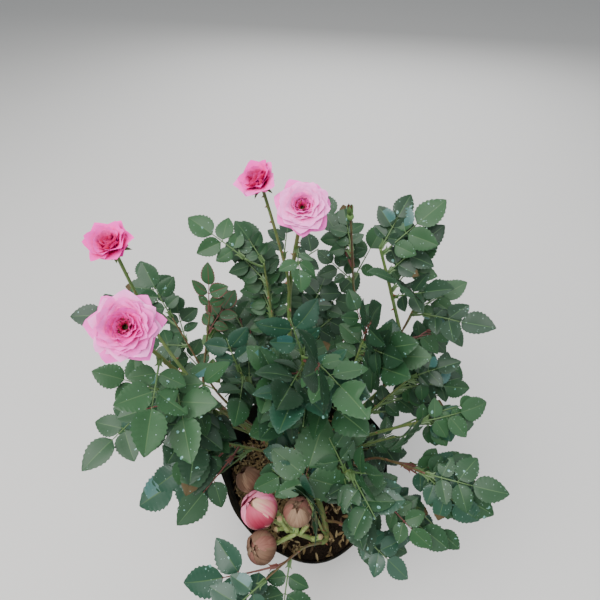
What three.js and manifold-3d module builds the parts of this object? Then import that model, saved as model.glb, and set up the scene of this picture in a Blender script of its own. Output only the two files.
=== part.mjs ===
// A miniature rose bush in its nursery bag, in millimetres, +Z up.
// The origin is the middle of the bag's flat underside, and the bush turns its -Y side to the light.
// A short woody stem stands on the potting mix. Canes fan out of its knob, and each cane ends where a
// leafy shoot begins. A shoot is one solid: its green stem, its compound leaves and what it flowers with.
import * as THREE from "three";
import { mergeVertices } from "three/addons/utils/BufferGeometryUtils.js";
import Module from "manifold-3d";

const wasm = await Module();
wasm.setup();

const DEGREE = Math.PI / 180;
const UP = new THREE.Vector3(0, 0, 1);
const RUNNING_GAP = 0.3; // between one solid and the next

// The bag: a soft black film pot whose mouth has three blunt corners and a slightly wavy edge.
const BAG = {
  height: 150,
  mouthRadius: 84,
  footRadius: 54,
  wall: 1.6,
  sides: 30,
  footBevel: 3,
  shelf: 3.2, // the thickness of its underside
  corners: { count: 3, share: 0.045, toward: -80 },
  ripples: { count: 7, share: 0.012, toward: 20 },
  rimWave: 2.2,
  drains: { count: 6, radius: 3, height: 22, sides: 8 },
};

// The potting mix, with a flat seat for the stem in its middle.
const SOIL = { level: 122, edgeDrop: 3, seatRadius: 14, clearance: 0.8 };

// The short woody stem: root flare, waist and the knob that the canes grow from.
const STEM = { flare: 10.5, waist: 6.4, knob: 11, height: 31, lean: new THREE.Vector2(2, 1), sides: 12 };
const STEM_PROFILE = [
  { up: 0, out: STEM.flare },
  { up: 0.09, out: STEM.flare * 0.82 },
  { up: 0.3, out: STEM.waist },
  { up: 0.46, out: STEM.waist * 1.08 },
  { up: 0.62, out: STEM.knob * 0.93 },
  { up: 0.74, out: STEM.knob },
  { up: 0.92, out: STEM.knob * 0.7 },
];
const KNOB_UP = 0.72; // how far up the stem the middle of the knob lies

// Leaves are odd-pinnate: two pairs of leaflets and one at the end. Angles are in degrees.
const LEAF = {
  leaflets: [
    { along: 12, length: 19, spread: 70 },
    { along: 12, length: 19, spread: -70 },
    { along: 24, length: 24.5, spread: 62 },
    { along: 24, length: 24.5, spread: -62 },
    { along: 33, length: 29.5, spread: 0 },
  ],
  reach: 33, // from the stem to the last leaflet
  width: 0.76, // of a leaflet's length
  widest: 0.44, // how far along a leaflet it is widest
  thickness: 0.035, // of a leaflet's length
  stalkRadius: 0.8,
  fewest: 3, // leaflets that a leaf needs, to be kept
  turnStep: 137.5, // from each leaf to the next one up the stem
  rise: { low: 24, high: 46, crest: 72, wander: 10 }, // from the plane square to the stem
  turnWander: 16,
  crestRise: 30,
  droop: { least: 0.08, more: 0.1 },
  size: { low: 1.02, high: 0.88, wander: 0.12 }, // up the stem, of the shoot's own size
  flatten: 0.55, // how far a leaf turns square to the light
  faceWander: { level: 0.3, upright: 0.15 },
  lengthWander: 0.08,
  nod: 10,
  tilt: 14,
};
// A leaf turns, and then shrinks, to fit its space.
const TRIES = { count: 24, turn: 47, perSize: 8, shrink: 0.86 };
const CLEARANCE = {
  limb: 1, // from a leaf to a cane, stem or stalk
  cell: 0.4, // from a leaf to the edge of its shoot's space
  flower: 2,
  leaf: 1.8, // from a leaflet to those before it
  bag: 3,
  overRim: 4,
};
const LIGHT = new THREE.Vector3(0.05, -0.5, 0.86).normalize(); // what the leaves face
const REACH = 55; // the weight of a shoot's space against its neighbours' spaces
const HEARTS = [0.15, 0.6, 1]; // how far along a shoot's stem the middles of its space lie

// How a bloom is built: tiers of petals whose tips make a star. far is the share of a petal's length from
// the bloom's foot, and turn the share of the opening angle, from the bloom's axis to its outer petals.
const BLOOM = {
  tips: 9,
  foot: -0.42, // of the radius, from the bloom's middle
  hip: 0.2,
  longest: 1.45,
  dimple: 0.12,
  lift: 0.45, // of the radius, from the stem's tip to the bloom's middle
  tiers: [
    { far: 0.36, turn: 1.12, star: 0 },
    { far: 1, turn: 1, star: 0.15 },
    { far: 0.66, turn: 0.86, star: 0 },
    { far: 0.84, turn: 0.74, star: -0.13 },
    { far: 0.56, turn: 0.6, star: 0 },
    { far: 0.66, turn: 0.44, star: 0.12 },
    { far: 0.5, turn: 0.25, star: 0 },
  ],
};

// The shoots. Each tip is given by the compass angle toward it, its distance out from the bag's axis and
// its height, and the stem under it by its length, its lean from upright and the way that it leans.
// from and share say which cane its own cane leaves, and how far along. girth is that cane's foot radius.
const SHOOTS = [
  { name: "left_low_bloom", toward: -175, out: 109, height: 377, length: 72, lean: 16, heading: -148,
    from: "stem", share: 0, girth: 2.4, leaves: 2, first: 0.05, last: 0.42, size: 0.95, turn: 150,
    leave: { toward: 190, steep: 58 },
    bloom: { radius: 22.5, facing: new THREE.Vector3(0.3, -0.55, 0.78), open: 92 } },
  { name: "left_high_bloom", toward: 167, out: 120, height: 406, length: 66, lean: 3, heading: -143,
    from: "left_low_bloom", share: 0.84, girth: 1.5, leaves: 1, first: 0.05, last: 0.4, size: 0.75, turn: 100,
    bloom: { radius: 17, facing: new THREE.Vector3(0, -0.32, 0.95), open: 72 } },
  { name: "middle_bloom", toward: 94, out: 64, height: 408, length: 68, lean: 12, heading: -57,
    from: "stem", share: 0, girth: 2.4, leaves: 2, first: 0.05, last: 0.4, size: 0.92, turn: 200,
    leave: { toward: 107, steep: 60 },
    bloom: { radius: 20, facing: new THREE.Vector3(0.02, -0.6, 0.8), open: 90 } },
  { name: "back_bloom", toward: 111, out: 87, height: 413, length: 64, lean: 14, heading: 150,
    from: "middle_bloom", share: 0.86, girth: 1.5, leaves: 1, first: 0.05, last: 0.4, size: 0.75, turn: 60,
    bloom: { radius: 16, facing: new THREE.Vector3(-0.36, -0.3, 0.88), open: 48 } },
  { name: "slender_right", toward: 68, out: 74, height: 400, length: 96, lean: 17, heading: -116,
    from: "tall_right", share: 0.62, girth: 1.3, leaves: 3, first: 0.02, last: 0.5, size: 0.72, turn: 120,
    tightBud: true },
  { name: "tall_right", toward: 55, out: 94, height: 362, length: 105, lean: 19, heading: 158,
    from: "stem", share: 0, girth: 2.4, leaves: 5, first: 0.02, last: 1, size: 0.88, turn: 10,
    leave: { toward: 40, steep: 52 }, crest: 35 },
  { name: "right_upper", toward: 38, out: 112, height: 300, length: 70, lean: 18, heading: 40,
    from: "tall_right", share: 0.66, girth: 1.5, leaves: 4, first: 0.03, last: 1, size: 0.9, turn: 350 },
  { name: "red_left", toward: 141, out: 104, height: 302, length: 68, lean: 22, heading: 60,
    from: "left_low_bloom", share: 0.58, girth: 1.4, leaves: 4, first: 0.03, last: 1, size: 0.8, turn: 80 },
  { name: "far_left", toward: 148, out: 138, height: 286, length: 66, lean: 32, heading: 135,
    from: "left_low", share: 0.72, girth: 1.4, leaves: 3, first: 0.05, last: 1, size: 0.88, turn: 170 },
  { name: "left_low", toward: 173, out: 120, height: 262, length: 84, lean: 42, heading: -175,
    from: "stem", share: 0, girth: 2.2, leaves: 4, first: 0.02, last: 1, size: 0.98, turn: 190,
    leave: { toward: 160, steep: 30 } },
  { name: "left_middle", toward: 180, out: 90, height: 298, length: 62, lean: 18, heading: -176,
    from: "left_low_bloom", share: 0.36, girth: 1.5, leaves: 5, first: 0.03, last: 1, size: 0.92, turn: 30 },
  { name: "left_front", toward: -172, out: 80, height: 224, length: 66, lean: 47, heading: -170,
    from: "stem", share: 0, girth: 1.8, leaves: 4, first: 0.05, last: 1, size: 1.05, turn: 220,
    leave: { toward: 226, steep: 34 } },
  { name: "middle_left", toward: 158, out: 58, height: 280, length: 92, lean: 20, heading: 165,
    from: "middle", share: 0.4, girth: 1.6, leaves: 6, first: 0.02, last: 1, size: 1.05, turn: 180,
    reach: 60 },
  { name: "middle_back", toward: 113, out: 88, height: 344, length: 84, lean: 8, heading: 120,
    from: "back", share: 0.4, girth: 1.6, leaves: 5, first: 0.03, last: 1, size: 0.86, turn: 100 },
  { name: "middle", toward: 100, out: 22, height: 304, length: 112, lean: 7, heading: 95,
    from: "stem", share: 0, girth: 2.3, leaves: 7, first: 0.02, last: 1, size: 1.12, turn: 260,
    reach: 66, leave: { toward: -80, steep: 80 } },
  { name: "middle_right", toward: 42, out: 62, height: 304, length: 104, lean: 19, heading: 50,
    from: "tall_right", share: 0.3, girth: 1.6, leaves: 6, first: 0.02, last: 1, size: 1.05, turn: 330,
    reach: 60 },
  { name: "right_back", toward: 17, out: 90, height: 264, length: 66, lean: 34, heading: 16,
    from: "right", share: 0.55, girth: 1.5, leaves: 5, first: 0.03, last: 1, size: 1, turn: 20 },
  { name: "right", toward: -6, out: 90, height: 256, length: 66, lean: 40, heading: -14,
    from: "stem", share: 0, girth: 2.2, leaves: 6, first: 0.03, last: 1, size: 0.95, turn: 0,
    leave: { toward: 5, steep: 42 } },
  { name: "far_right", toward: -27, out: 100, height: 244, length: 44, lean: 50, heading: -42,
    from: "right_front", share: 0.75, girth: 1.4, leaves: 3, first: 0.05, last: 1, size: 1.0, turn: 330,
    crest: -12 },
  { name: "right_front", toward: -42, out: 84, height: 214, length: 56, lean: 53, heading: -50,
    from: "stem", share: 0, girth: 1.9, leaves: 5, first: 0.03, last: 1, size: 0.92, turn: 300,
    leave: { toward: -35, steep: 38 } },
  { name: "front_right", toward: -16, out: 72, height: 252, length: 74, lean: 28, heading: -30,
    from: "right", share: 0.4, girth: 1.5, leaves: 6, first: 0.03, last: 1, size: 1.08, turn: 290,
    reach: 60 },
  { name: "centre_front", toward: -50, out: 52, height: 236, length: 60, lean: 22, heading: -30,
    from: "pruned_front", share: 0.36, girth: 1.5, leaves: 6, first: 0.05, last: 1, size: 1.08, turn: 45,
    reach: 66 },
  { name: "middle_front", toward: -95, out: 50, height: 228, length: 60, lean: 20, heading: 140,
    from: "pruned_front", share: 0.72, girth: 1.6, leaves: 6, first: 0.3, last: 1, size: 1.12, turn: 270,
    reach: 62, crest: 80 },
  { name: "front", toward: -60, out: 84, height: 190, length: 33, lean: 39, heading: -44,
    from: "pruned_front", share: 0.55, girth: 1.5, leaves: 3, first: 0.05, last: 1, size: 0.88, turn: 300 },
  { name: "front_left", toward: -106, out: 112, height: 206, length: 44, lean: 52, heading: -135,
    from: "pruned_front", share: 0.9, girth: 1.4, leaves: 2, first: 0.3, last: 1, size: 1.05, turn: 250,
    crest: -128 },
  { name: "pruned_front", toward: -108, out: 69, height: 174, length: 35, lean: 63, heading: 169,
    from: "stem", share: 0, girth: 3, leaves: 0, first: 0, last: 1, size: 1, turn: 0, reach: 48,
    leave: { toward: -83, steep: 30 }, heads: true },
  { name: "back", toward: 88, out: 96, height: 262, length: 80, lean: 30, heading: 84,
    from: "stem", share: 0, girth: 2.1, leaves: 5, first: 0.02, last: 1, size: 1.05, turn: 90,
    leave: { toward: 75, steep: 42 } },
  { name: "back_left", toward: 124, out: 98, height: 244, length: 74, lean: 40, heading: 128,
    from: "stem", share: 0, girth: 1.8, leaves: 4, first: 0.02, last: 1, size: 1, turn: 120,
    leave: { toward: 142, steep: 46 } },
];

// The fat bud and the spent flower heads that the pruned cane in front carries on short stalks.
const HEADS = [
  { toward: -127, out: 67, height: 184, radius: 15.5 },
  { toward: -98, out: 58, height: 190, radius: 11.5 },
  { toward: -114, out: 90, height: 184, radius: 12 },
  { toward: -154, out: 58, height: 175, radius: 11.5 },
];
const HEAD_STALK = { radius: 1.9, sag: 4, share: 0.6, taper: 0.8 };

// A cane's radius at its end, of that at its foot, how deep its curve starts in the knob, of the knob's
// radius, how strongly it keeps the way it leaves in, and how much it follows the cane that it leaves.
const CANE = { taper: 0.72, depth: 0.6, pull: 0.38, follow: 0.35, step: 0.001, latest: 0.85, samples: 400 };
const SHOOT_STEM = { bow: 0.07, taper: 0.62, sides: 4, steps: 3 };
const TIGHT_BUD = { radius: 3, half: 8, lift: 5, stemRadius: 0.8 };
const BALL_STEP = 3; // between the balls that stand for a limb

const LOOKS = {
  bag: { color: 0x14181a, roughness: 0.45 },
  soil: { color: 0x6b5132, roughness: 0.95 },
  stem: { color: 0x6c5a3c, roughness: 0.85 },
  cane: { color: 0x5d7a37, roughness: 0.6 },
  foliage: { color: 0x2f6b3a, roughness: 0.5 },
  flowering: { color: 0xe79ab4, roughness: 0.55 },
};

// A seeded row of numbers from 0 to 1, so that the bush grows the same way every time.
class Dice {
  constructor(seed) {
    this.state = (seed * 7919 + 12345) % 2147483647;
    this.roll();
    this.roll();
  }

  roll() {
    this.state = (this.state * 48271) % 2147483647;
    return this.state / 2147483647;
  }

  spread(most) {
    return most * (2 * this.roll() - 1);
  }
}

function mix(from, to, share) {
  return from + (to - from) * share;
}

// A place given by the compass angle toward it, the distance out from the axis and the height.
function placeOf({ toward, out, height }) {
  return new THREE.Vector3(out * Math.cos(toward * DEGREE), out * Math.sin(toward * DEGREE), height);
}

// A direction given by the compass angle toward it and its rise from level.
function directionOf(toward, rise) {
  const level = Math.cos(rise * DEGREE);
  return placeOf({ toward, out: level, height: Math.sin(rise * DEGREE) });
}

// Two directions square to a third, the first of them level.
function squareTo(direction) {
  const side = new THREE.Vector3().crossVectors(UP, direction);
  if (side.length() < 0.05) side.set(0, 1, 0);
  side.normalize();
  const over = new THREE.Vector3().crossVectors(direction, side).normalize();
  return [side, over];
}

// A three.js geometry as a closed solid.
function solidOf(geometry) {
  const plain = geometry.index ? geometry.toNonIndexed() : geometry.clone();
  plain.deleteAttribute("normal");
  plain.deleteAttribute("uv");
  const merged = mergeVertices(plain, 1e-4);
  const mesh = new wasm.Mesh({
    numProp: 3,
    vertProperties: merged.attributes.position.array,
    triVerts: new Uint32Array(merged.index.array),
  });
  return new wasm.Manifold(mesh);
}

// A closed solid as a three.js geometry.
function geometryOf(solid) {
  const mesh = solid.getMesh();
  const places = new Float32Array(mesh.numVert * 3);
  for (let i = 0; i < mesh.numVert; i += 1) {
    places.set(mesh.vertProperties.subarray(i * mesh.numProp, i * mesh.numProp + 3), i * 3);
  }
  const geometry = new THREE.BufferGeometry();
  geometry.setAttribute("position", new THREE.BufferAttribute(places, 3));
  geometry.setIndex(new THREE.BufferAttribute(mesh.triVerts, 1));
  return geometry;
}

// Moves every vertex of a geometry by a function of its place.
function reshaped(geometry, move) {
  const places = geometry.attributes.position;
  const point = new THREE.Vector3();
  for (let i = 0; i < places.count; i += 1) {
    point.fromBufferAttribute(places, i);
    move(point);
    places.setXYZ(i, point.x, point.y, point.z);
  }
  return geometry;
}

// A tapering limb: a cylinder laid along a curve.
function taperedLimb(curve, footRadius, tipRadius, sides, steps) {
  const cylinder = new THREE.CylinderGeometry(tipRadius, footRadius, 1, sides, steps);
  return reshaped(cylinder, (point) => {
    const share = point.y + 0.5;
    const [side, over] = squareTo(curve.getTangent(share));
    const [across, through] = [point.x, point.z];
    point.copy(curve.getPoint(share)).addScaledVector(side, across).addScaledVector(over, -through);
  });
}

// The part of a curve between two shares of it.
function partOf(curve, from, to) {
  const part = new THREE.Curve();
  part.getPoint = (share) => curve.getPoint(mix(from, to, share));
  part.getTangent = (share) => curve.getTangent(mix(from, to, share));
  return part;
}

// The bag's outer radius: round at its foot, with corners and ripples that grow towards its mouth.
function bagRadius(turn, height) {
  const up = Math.max(0, height) / BAG.height;
  const wave = ({ count, share, toward }) => share * Math.cos(count * (turn - toward * DEGREE));
  const plain = mix(BAG.footRadius, BAG.mouthRadius, up);
  return plain * (1 + up ** 1.5 * (wave(BAG.corners) + wave(BAG.ripples)));
}

// A lathe whose rows follow the bag's plan at their height. A row with inset null lies on the axis.
function bagLathe(rows) {
  const profile = rows.map(({ inset, height }) => new THREE.Vector2(inset === null ? 0 : 1, height));
  const lathe = new THREE.LatheGeometry(profile, BAG.sides);
  const places = lathe.attributes.position;
  for (let i = 0; i < places.count; i += 1) {
    const { inset, height, scale = 1, onRim = false } = rows[i % rows.length];
    const turn = (Math.floor(i / rows.length) / BAG.sides) * 2 * Math.PI;
    const radius = inset === null ? 0 : bagRadius(turn, height) * scale - inset;
    const wave = onRim ? BAG.rimWave * Math.cos(2 * turn + 1) : 0;
    places.setXYZ(i, radius * Math.cos(turn), radius * Math.sin(turn), height + wave);
  }
  return lathe;
}

function makeBag() {
  const waist = BAG.height * 0.55;
  const rows = [
    { inset: null, height: 0 },
    { inset: BAG.footBevel, height: 0 },
    { inset: 0, height: BAG.footBevel },
    { inset: 0, height: waist },
    { inset: 0, height: BAG.height, onRim: true },
    { inset: BAG.wall, height: BAG.height, onRim: true },
    { inset: BAG.wall, height: waist },
    { inset: BAG.wall + 1, height: BAG.shelf },
    { inset: null, height: BAG.shelf },
  ];
  const { count, radius, height, sides } = BAG.drains;
  let bag = solidOf(bagLathe(rows));
  for (let i = 0; i < count; i += 1) {
    const turn = ((i + 0.5) / count) * 2 * Math.PI;
    const punch = new THREE.CylinderGeometry(radius, radius, 8 * BAG.wall, sides);
    punch.rotateZ(Math.PI / 2);
    punch.translate(bagRadius(turn, height) - BAG.wall / 2, 0, height);
    punch.rotateZ(turn);
    bag = bag.subtract(solidOf(punch));
  }
  return geometryOf(bag);
}

function makeSoil() {
  const inset = BAG.wall + SOIL.clearance;
  const under = BAG.shelf + RUNNING_GAP;
  const rows = [
    { inset: null, height: under },
    { inset: inset + 1.5, height: under },
    { inset, height: BAG.height * 0.55 },
    { inset, height: SOIL.level - SOIL.edgeDrop },
    { inset: 0, height: SOIL.level, scale: SOIL.seatRadius / BAG.mouthRadius },
    { inset: null, height: SOIL.level },
  ];
  return geometryOf(solidOf(bagLathe(rows)));
}

const STEM_FOOT = SOIL.level + RUNNING_GAP;
const KNOB = new THREE.Vector3(STEM.lean.x, STEM.lean.y, STEM.height).multiplyScalar(KNOB_UP);
KNOB.z += STEM_FOOT;

function makeStem() {
  const side = STEM_PROFILE.map(({ up, out }) => new THREE.Vector2(out, up * STEM.height));
  const profile = [new THREE.Vector2(0, 0), ...side, new THREE.Vector2(0, STEM.height)];
  const lathe = new THREE.LatheGeometry(profile, STEM.sides).rotateX(Math.PI / 2);
  return reshaped(lathe, (point) => {
    const share = point.z / STEM.height;
    point.x += STEM.lean.x * share;
    point.y += STEM.lean.y * share;
    point.z += STEM_FOOT;
  });
}

// Where a shoot's green stem runs: up to its tip, bowed a little.
function stemCurve(shoot) {
  const tip = placeOf(shoot);
  const heading = directionOf(shoot.heading, 90 - shoot.lean);
  const foot = tip.clone().addScaledVector(heading, -shoot.length);
  const bow = shoot.length * SHOOT_STEM.bow * Math.sin(shoot.lean * DEGREE);
  const middle = foot.clone().lerp(tip, 0.5).addScaledVector(UP, bow);
  return new THREE.QuadraticBezierCurve3(foot, middle, tip);
}

// Where a cane runs: out of the stem's knob or another cane's side, and up into its shoot's foot.
function caneCurve(shoot) {
  const end = shoot.stem.getPoint(0);
  const arriving = shoot.stem.getTangent(0);
  const parent = SHOOTS.find((other) => other.name === shoot.from);
  let origin;
  let leaving;
  if (parent) {
    origin = parent.cane.getPoint(shoot.share);
    const straight = end.clone().sub(origin).normalize();
    leaving = parent.cane.getTangent(shoot.share).multiplyScalar(CANE.follow).add(straight).normalize();
  } else {
    leaving = directionOf(shoot.leave.toward, shoot.leave.steep);
    origin = KNOB.clone().addScaledVector(leaving, STEM.knob * CANE.depth);
  }
  const pull = end.distanceTo(origin) * CANE.pull;
  const nearOrigin = origin.clone().addScaledVector(leaving, pull);
  const nearEnd = end.clone().addScaledVector(arriving, -pull);
  return new THREE.CubicBezierCurve3(origin, nearOrigin, nearEnd, end);
}

function caneRadius(shoot, share) {
  return shoot.girth * mix(1, CANE.taper, share);
}

// How far a point lies from the side of the short stem.
function gapToStem(point) {
  const up = point.z - STEM_FOOT;
  const axis = STEM.lean.clone().multiplyScalar(up / STEM.height);
  const spot = new THREE.Vector3(Math.hypot(point.x - axis.x, point.y - axis.y), up, 0);
  const side = [...STEM_PROFILE, { up: 1, out: 0 }];
  const corners = side.map((row) => new THREE.Vector3(row.out, row.up * STEM.height, 0));
  const edges = corners.slice(1).map((corner, index) => new THREE.Line3(corners[index], corner));
  const nearest = new THREE.Vector3();
  return Math.min(...edges.map((edge) => edge.closestPointToPoint(spot, true, nearest).distanceTo(spot)));
}

// How many sides and steps a cane has: more where it grows from the short stem.
function facetsOf(shoot) {
  return shoot.from === "stem" ? { sides: 6, steps: 5 } : { sides: 5, steps: 3 };
}

// The middle line of a cane's faceted solid: straight from each of its steps to the next.
function facetedLine(shoot) {
  const part = partOf(shoot.cane, shoot.start, 1);
  const { steps } = facetsOf(shoot);
  const line = new THREE.Curve();
  line.getPoint = (share) => {
    const step = Math.min(Math.floor(share * steps), steps - 1);
    return part.getPoint(step / steps).lerp(part.getPoint((step + 1) / steps), share * steps - step);
  };
  return line;
}

// How far a point lies from the side of a cane, given as the balls along it.
function gapToCane(point, balls) {
  return Math.min(...balls.map((ball) => ball.centre.distanceTo(point) - ball.radius));
}

// The middle and the corners of a cane's end, where the cane is cut at a share of its curve.
function endPoints(shoot, share, sides) {
  const middle = shoot.cane.getPoint(share);
  const axes = squareTo(shoot.cane.getTangent(share));
  const radius = caneRadius(shoot, share);
  const corners = Array.from({ length: sides }, (_, index) => {
    const turn = (index / sides) * 2 * Math.PI;
    const corner = middle.clone().addScaledVector(axes[0], radius * Math.sin(turn));
    return corner.addScaledVector(axes[1], radius * Math.cos(turn));
  });
  return [middle, ...corners];
}

// Where along its curve a cane starts, so that its cut end just clears what it grows from.
function clearOfParent(shoot) {
  const { sides } = facetsOf(shoot);
  const parent = SHOOTS.find((other) => other.name === shoot.from);
  const radiusAt = (share) => caneRadius(parent, mix(parent.start, 1, share));
  const balls = parent ? ballsAlong(facetedLine(parent), CANE.samples, radiusAt) : [];
  const gapAt = (point) => (parent ? gapToCane(point, balls) : gapToStem(point));
  const clear = (share) => endPoints(shoot, share, sides).every((point) => gapAt(point) > RUNNING_GAP);
  let share = 1;
  while (share > 0 && clear(share)) share -= CANE.step;
  if (share > CANE.latest) throw new Error(shoot.name + " never clears " + shoot.from);
  return share + CANE.step;
}

// Where the stalk of a flower head runs, from the pruned shoot's stem to just inside the head.
function headStalk(head, shoot) {
  const root = shoot.stem.getPoint(HEAD_STALK.share);
  const end = placeOf(head).addScaledVector(UP, -head.radius * 0.5);
  const middle = root.clone().lerp(end, 0.55).addScaledVector(UP, -HEAD_STALK.sag);
  return new THREE.QuadraticBezierCurve3(root, middle, end);
}

// A row of balls along a curve.
function ballsAlong(curve, count, radiusAt) {
  return Array.from({ length: count + 1 }, (_, index) => {
    const share = index / count;
    return { centre: curve.getPoint(share), radius: radiusAt(share) };
  });
}

// Balls along every cane, stem and stalk, for the leaves to keep clear of.
function limbBalls() {
  const balls = [];
  const lay = (owner, curve, radiusAt) => {
    const count = Math.ceil(curve.getLength() / BALL_STEP);
    balls.push(...ballsAlong(curve, count, radiusAt).map((ball) => ({ owner, ...ball })));
  };
  for (const shoot of SHOOTS) {
    lay("", shoot.cane, (share) => caneRadius(shoot, share));
    lay(shoot.name, shoot.stem, () => caneRadius(shoot, 1));
    const heads = shoot.heads ? HEADS : [];
    for (const head of heads) lay(shoot.name, headStalk(head, shoot), () => HEAD_STALK.radius);
  }
  return balls;
}

// The balls that the blooms, the bud and the spent heads take up.
function flowerBalls() {
  const blooms = SHOOTS.filter((shoot) => shoot.bloom).map(({ bloom }) => bloom);
  const heads = HEADS.map((head) => ({ centre: placeOf(head), radius: head.radius }));
  return [...blooms, ...heads];
}

// How deep a point lies in a shoot's space: least over balls of its reach along its stem.
function depthIn(point, shoot) {
  const reach = (shoot.reach ?? REACH) ** 2;
  return Math.min(...shoot.hearts.map((heart) => point.distanceToSquared(heart) - reach));
}

// Whether a point lies in the space that a shoot keeps to, clear of the bag and of every neighbour's space.
function inOwnSpace(point, shoot) {
  const widest = BAG.mouthRadius * (1 + BAG.corners.share + BAG.ripples.share) + CLEARANCE.bag;
  const outside = Math.hypot(point.x, point.y) > widest;
  if (point.z < BAG.height + CLEARANCE.overRim && !outside) return false;
  const own = depthIn(point, shoot);
  return SHOOTS.every((other) => {
    const edge = 2 * CLEARANCE.cell * other.hearts[1].distanceTo(shoot.hearts[1]);
    return other === shoot || depthIn(point, other) - own > edge;
  });
}

// Whether a point lies within a leaflet, grown by a margin round it and over it.
function liesIn(point, leaflet, margin) {
  const away = point.clone().sub(leaflet.foot);
  const far = away.dot(leaflet.along);
  if (far < -margin || far > leaflet.length + margin) return false;
  if (Math.abs(away.dot(leaflet.face)) > margin) return false;
  const side = new THREE.Vector3().crossVectors(leaflet.face, leaflet.along);
  return Math.abs(away.dot(side)) < (leaflet.length * LEAF.width) / 2 + margin;
}

// A leaflet fits if it keeps to its shoot's space and touches no limb, no flower and no leaflet before it.
function fits(leaflet, shoot, grown) {
  const side = new THREE.Vector3().crossVectors(leaflet.face, leaflet.along);
  const half = LEAF.width / 2;
  const spots = [[1, 0], [LEAF.widest, half], [LEAF.widest, -half], [LEAF.widest, 0], [0.75, 0]];
  const points = spots.map(([far, across]) => {
    const middle = leaflet.foot.clone().addScaledVector(leaflet.along, far * leaflet.length);
    return middle.addScaledVector(side, across * leaflet.length);
  });
  const blocked = points.some(
    (point) =>
      !inOwnSpace(point, shoot) ||
      FLOWERS.some((flower) => point.distanceTo(flower.centre) < flower.radius + CLEARANCE.flower) ||
      grown.some((other) => liesIn(point, other, CLEARANCE.leaf)),
  );
  if (blocked) return false;
  return !LIMBS.some(
    (limb) => limb.owner !== shoot.name && liesIn(limb.centre, leaflet, limb.radius + CLEARANCE.limb),
  );
}

// A leaflet turned to its side of the stalk, with a tilt and a nod of its own.
function leafletOf(dice, foot, along, face, place, scale) {
  const length = place.length * scale * (1 + dice.spread(LEAF.lengthWander));
  const turned = along.clone().applyAxisAngle(face, place.spread * DEGREE);
  const across = new THREE.Vector3().crossVectors(face, turned).normalize();
  const nod = dice.spread(LEAF.nod) * DEGREE;
  const tilt = dice.spread(LEAF.tilt) * DEGREE;
  const heading = turned.applyAxisAngle(across, nod).normalize();
  const ownFace = face.clone().applyAxisAngle(across, nod).applyAxisAngle(heading, tilt).normalize();
  return { foot, along: heading, face: ownFace, length };
}

// The way that a leaf takes from its stem: its turn round the stem, its rise, its crest and its droop.
function leafHeading(shoot, share, heading, dice, index, attempt) {
  const [side, over] = squareTo(heading);
  const last = index === shoot.leaves - 1 && shoot.last === 1;
  const step = index * LEAF.turnStep + attempt * TRIES.turn;
  const turn = (shoot.turn + step + dice.spread(LEAF.turnWander)) * DEGREE;
  const { low, high, crest, wander } = LEAF.rise;
  const rise = ((last ? crest : mix(low, high, share)) + dice.spread(wander)) * DEGREE;
  const along = side.multiplyScalar(Math.cos(turn) * Math.cos(rise));
  along.addScaledVector(over, Math.sin(turn) * Math.cos(rise)).addScaledVector(heading, Math.sin(rise));
  if (last && shoot.crest !== undefined) along.add(directionOf(shoot.crest, LEAF.crestRise));
  along.addScaledVector(UP, -LEAF.droop.least - LEAF.droop.more * dice.roll());
  return along.addScaledVector(LIGHT, -LEAF.flatten * along.dot(LIGHT)).normalize();
}

// Which way a leaf faces: toward the light, square to the way it takes.
function leafFace(along, dice) {
  const { level, upright } = LEAF.faceWander;
  const face = new THREE.Vector3(dice.spread(level), dice.spread(level), dice.spread(upright)).add(LIGHT);
  return face.addScaledVector(along, -face.dot(along)).normalize();
}

// Whether a leaf's stalk keeps to its shoot's space and touches no limb of another shoot.
function stalkFits(stalk, shoot) {
  return [0.4, 0.7, 1].every((share) => {
    const point = stalk.getPoint(share);
    const free = (limb) => {
      const needed = limb.radius + LEAF.stalkRadius + CLEARANCE.limb;
      return limb.owner === shoot.name || limb.centre.distanceTo(point) > needed;
    };
    return inOwnSpace(point, shoot) && LIMBS.every(free);
  });
}

// One try at a leaf: its stalk and the leaflets that fit, or null where too few do.
function tryLeaf(shoot, grown, index, attempt) {
  const dice = new Dice(shoot.seed * 1000 + index * 31 + attempt);
  const step = shoot.leaves > 1 ? index / (shoot.leaves - 1) : 0;
  const share = mix(shoot.first, shoot.last, step);
  const root = shoot.stem.getPoint(share);
  const along = leafHeading(shoot, share, shoot.stem.getTangent(share), dice, index, attempt);
  const shrink = TRIES.shrink ** Math.floor(attempt / TRIES.perSize);
  const { low, high, wander } = LEAF.size;
  const scale = shoot.size * shrink * mix(low, high, share) * (1 + dice.spread(wander));
  const face = leafFace(along, dice);
  const onStalk = (far) => root.clone().addScaledVector(along, far * scale);
  const stalk = new THREE.LineCurve3(root, onStalk(LEAF.reach));
  if (!stalkFits(stalk, shoot)) return null;
  const leaflets = LEAF.leaflets
    .map((place) => leafletOf(dice, onStalk(place.along), along, face, place, scale))
    .filter((leaflet) => fits(leaflet, shoot, grown));
  return leaflets.length < LEAF.fewest ? null : { stalk, leaflets };
}

// How much leaf there is in a row of leaflets.
function spreadOf(leaflets) {
  return leaflets.reduce((sum, leaflet) => sum + leaflet.length ** 2, 0);
}

// All the leaves of a shoot, each the largest of its tries.
function growLeaves(shoot) {
  const leaves = [];
  const grown = [];
  for (let index = 0; index < shoot.leaves; index += 1) {
    let best = { leaflets: [] };
    for (let attempt = 0; attempt < TRIES.count; attempt += 1) {
      const leaf = tryLeaf(shoot, grown, index, attempt);
      if (leaf && spreadOf(leaf.leaflets) > spreadOf(best.leaflets)) best = leaf;
    }
    if (best.stalk) {
      leaves.push(best);
      grown.push(...best.leaflets);
    }
  }
  return leaves;
}

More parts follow.
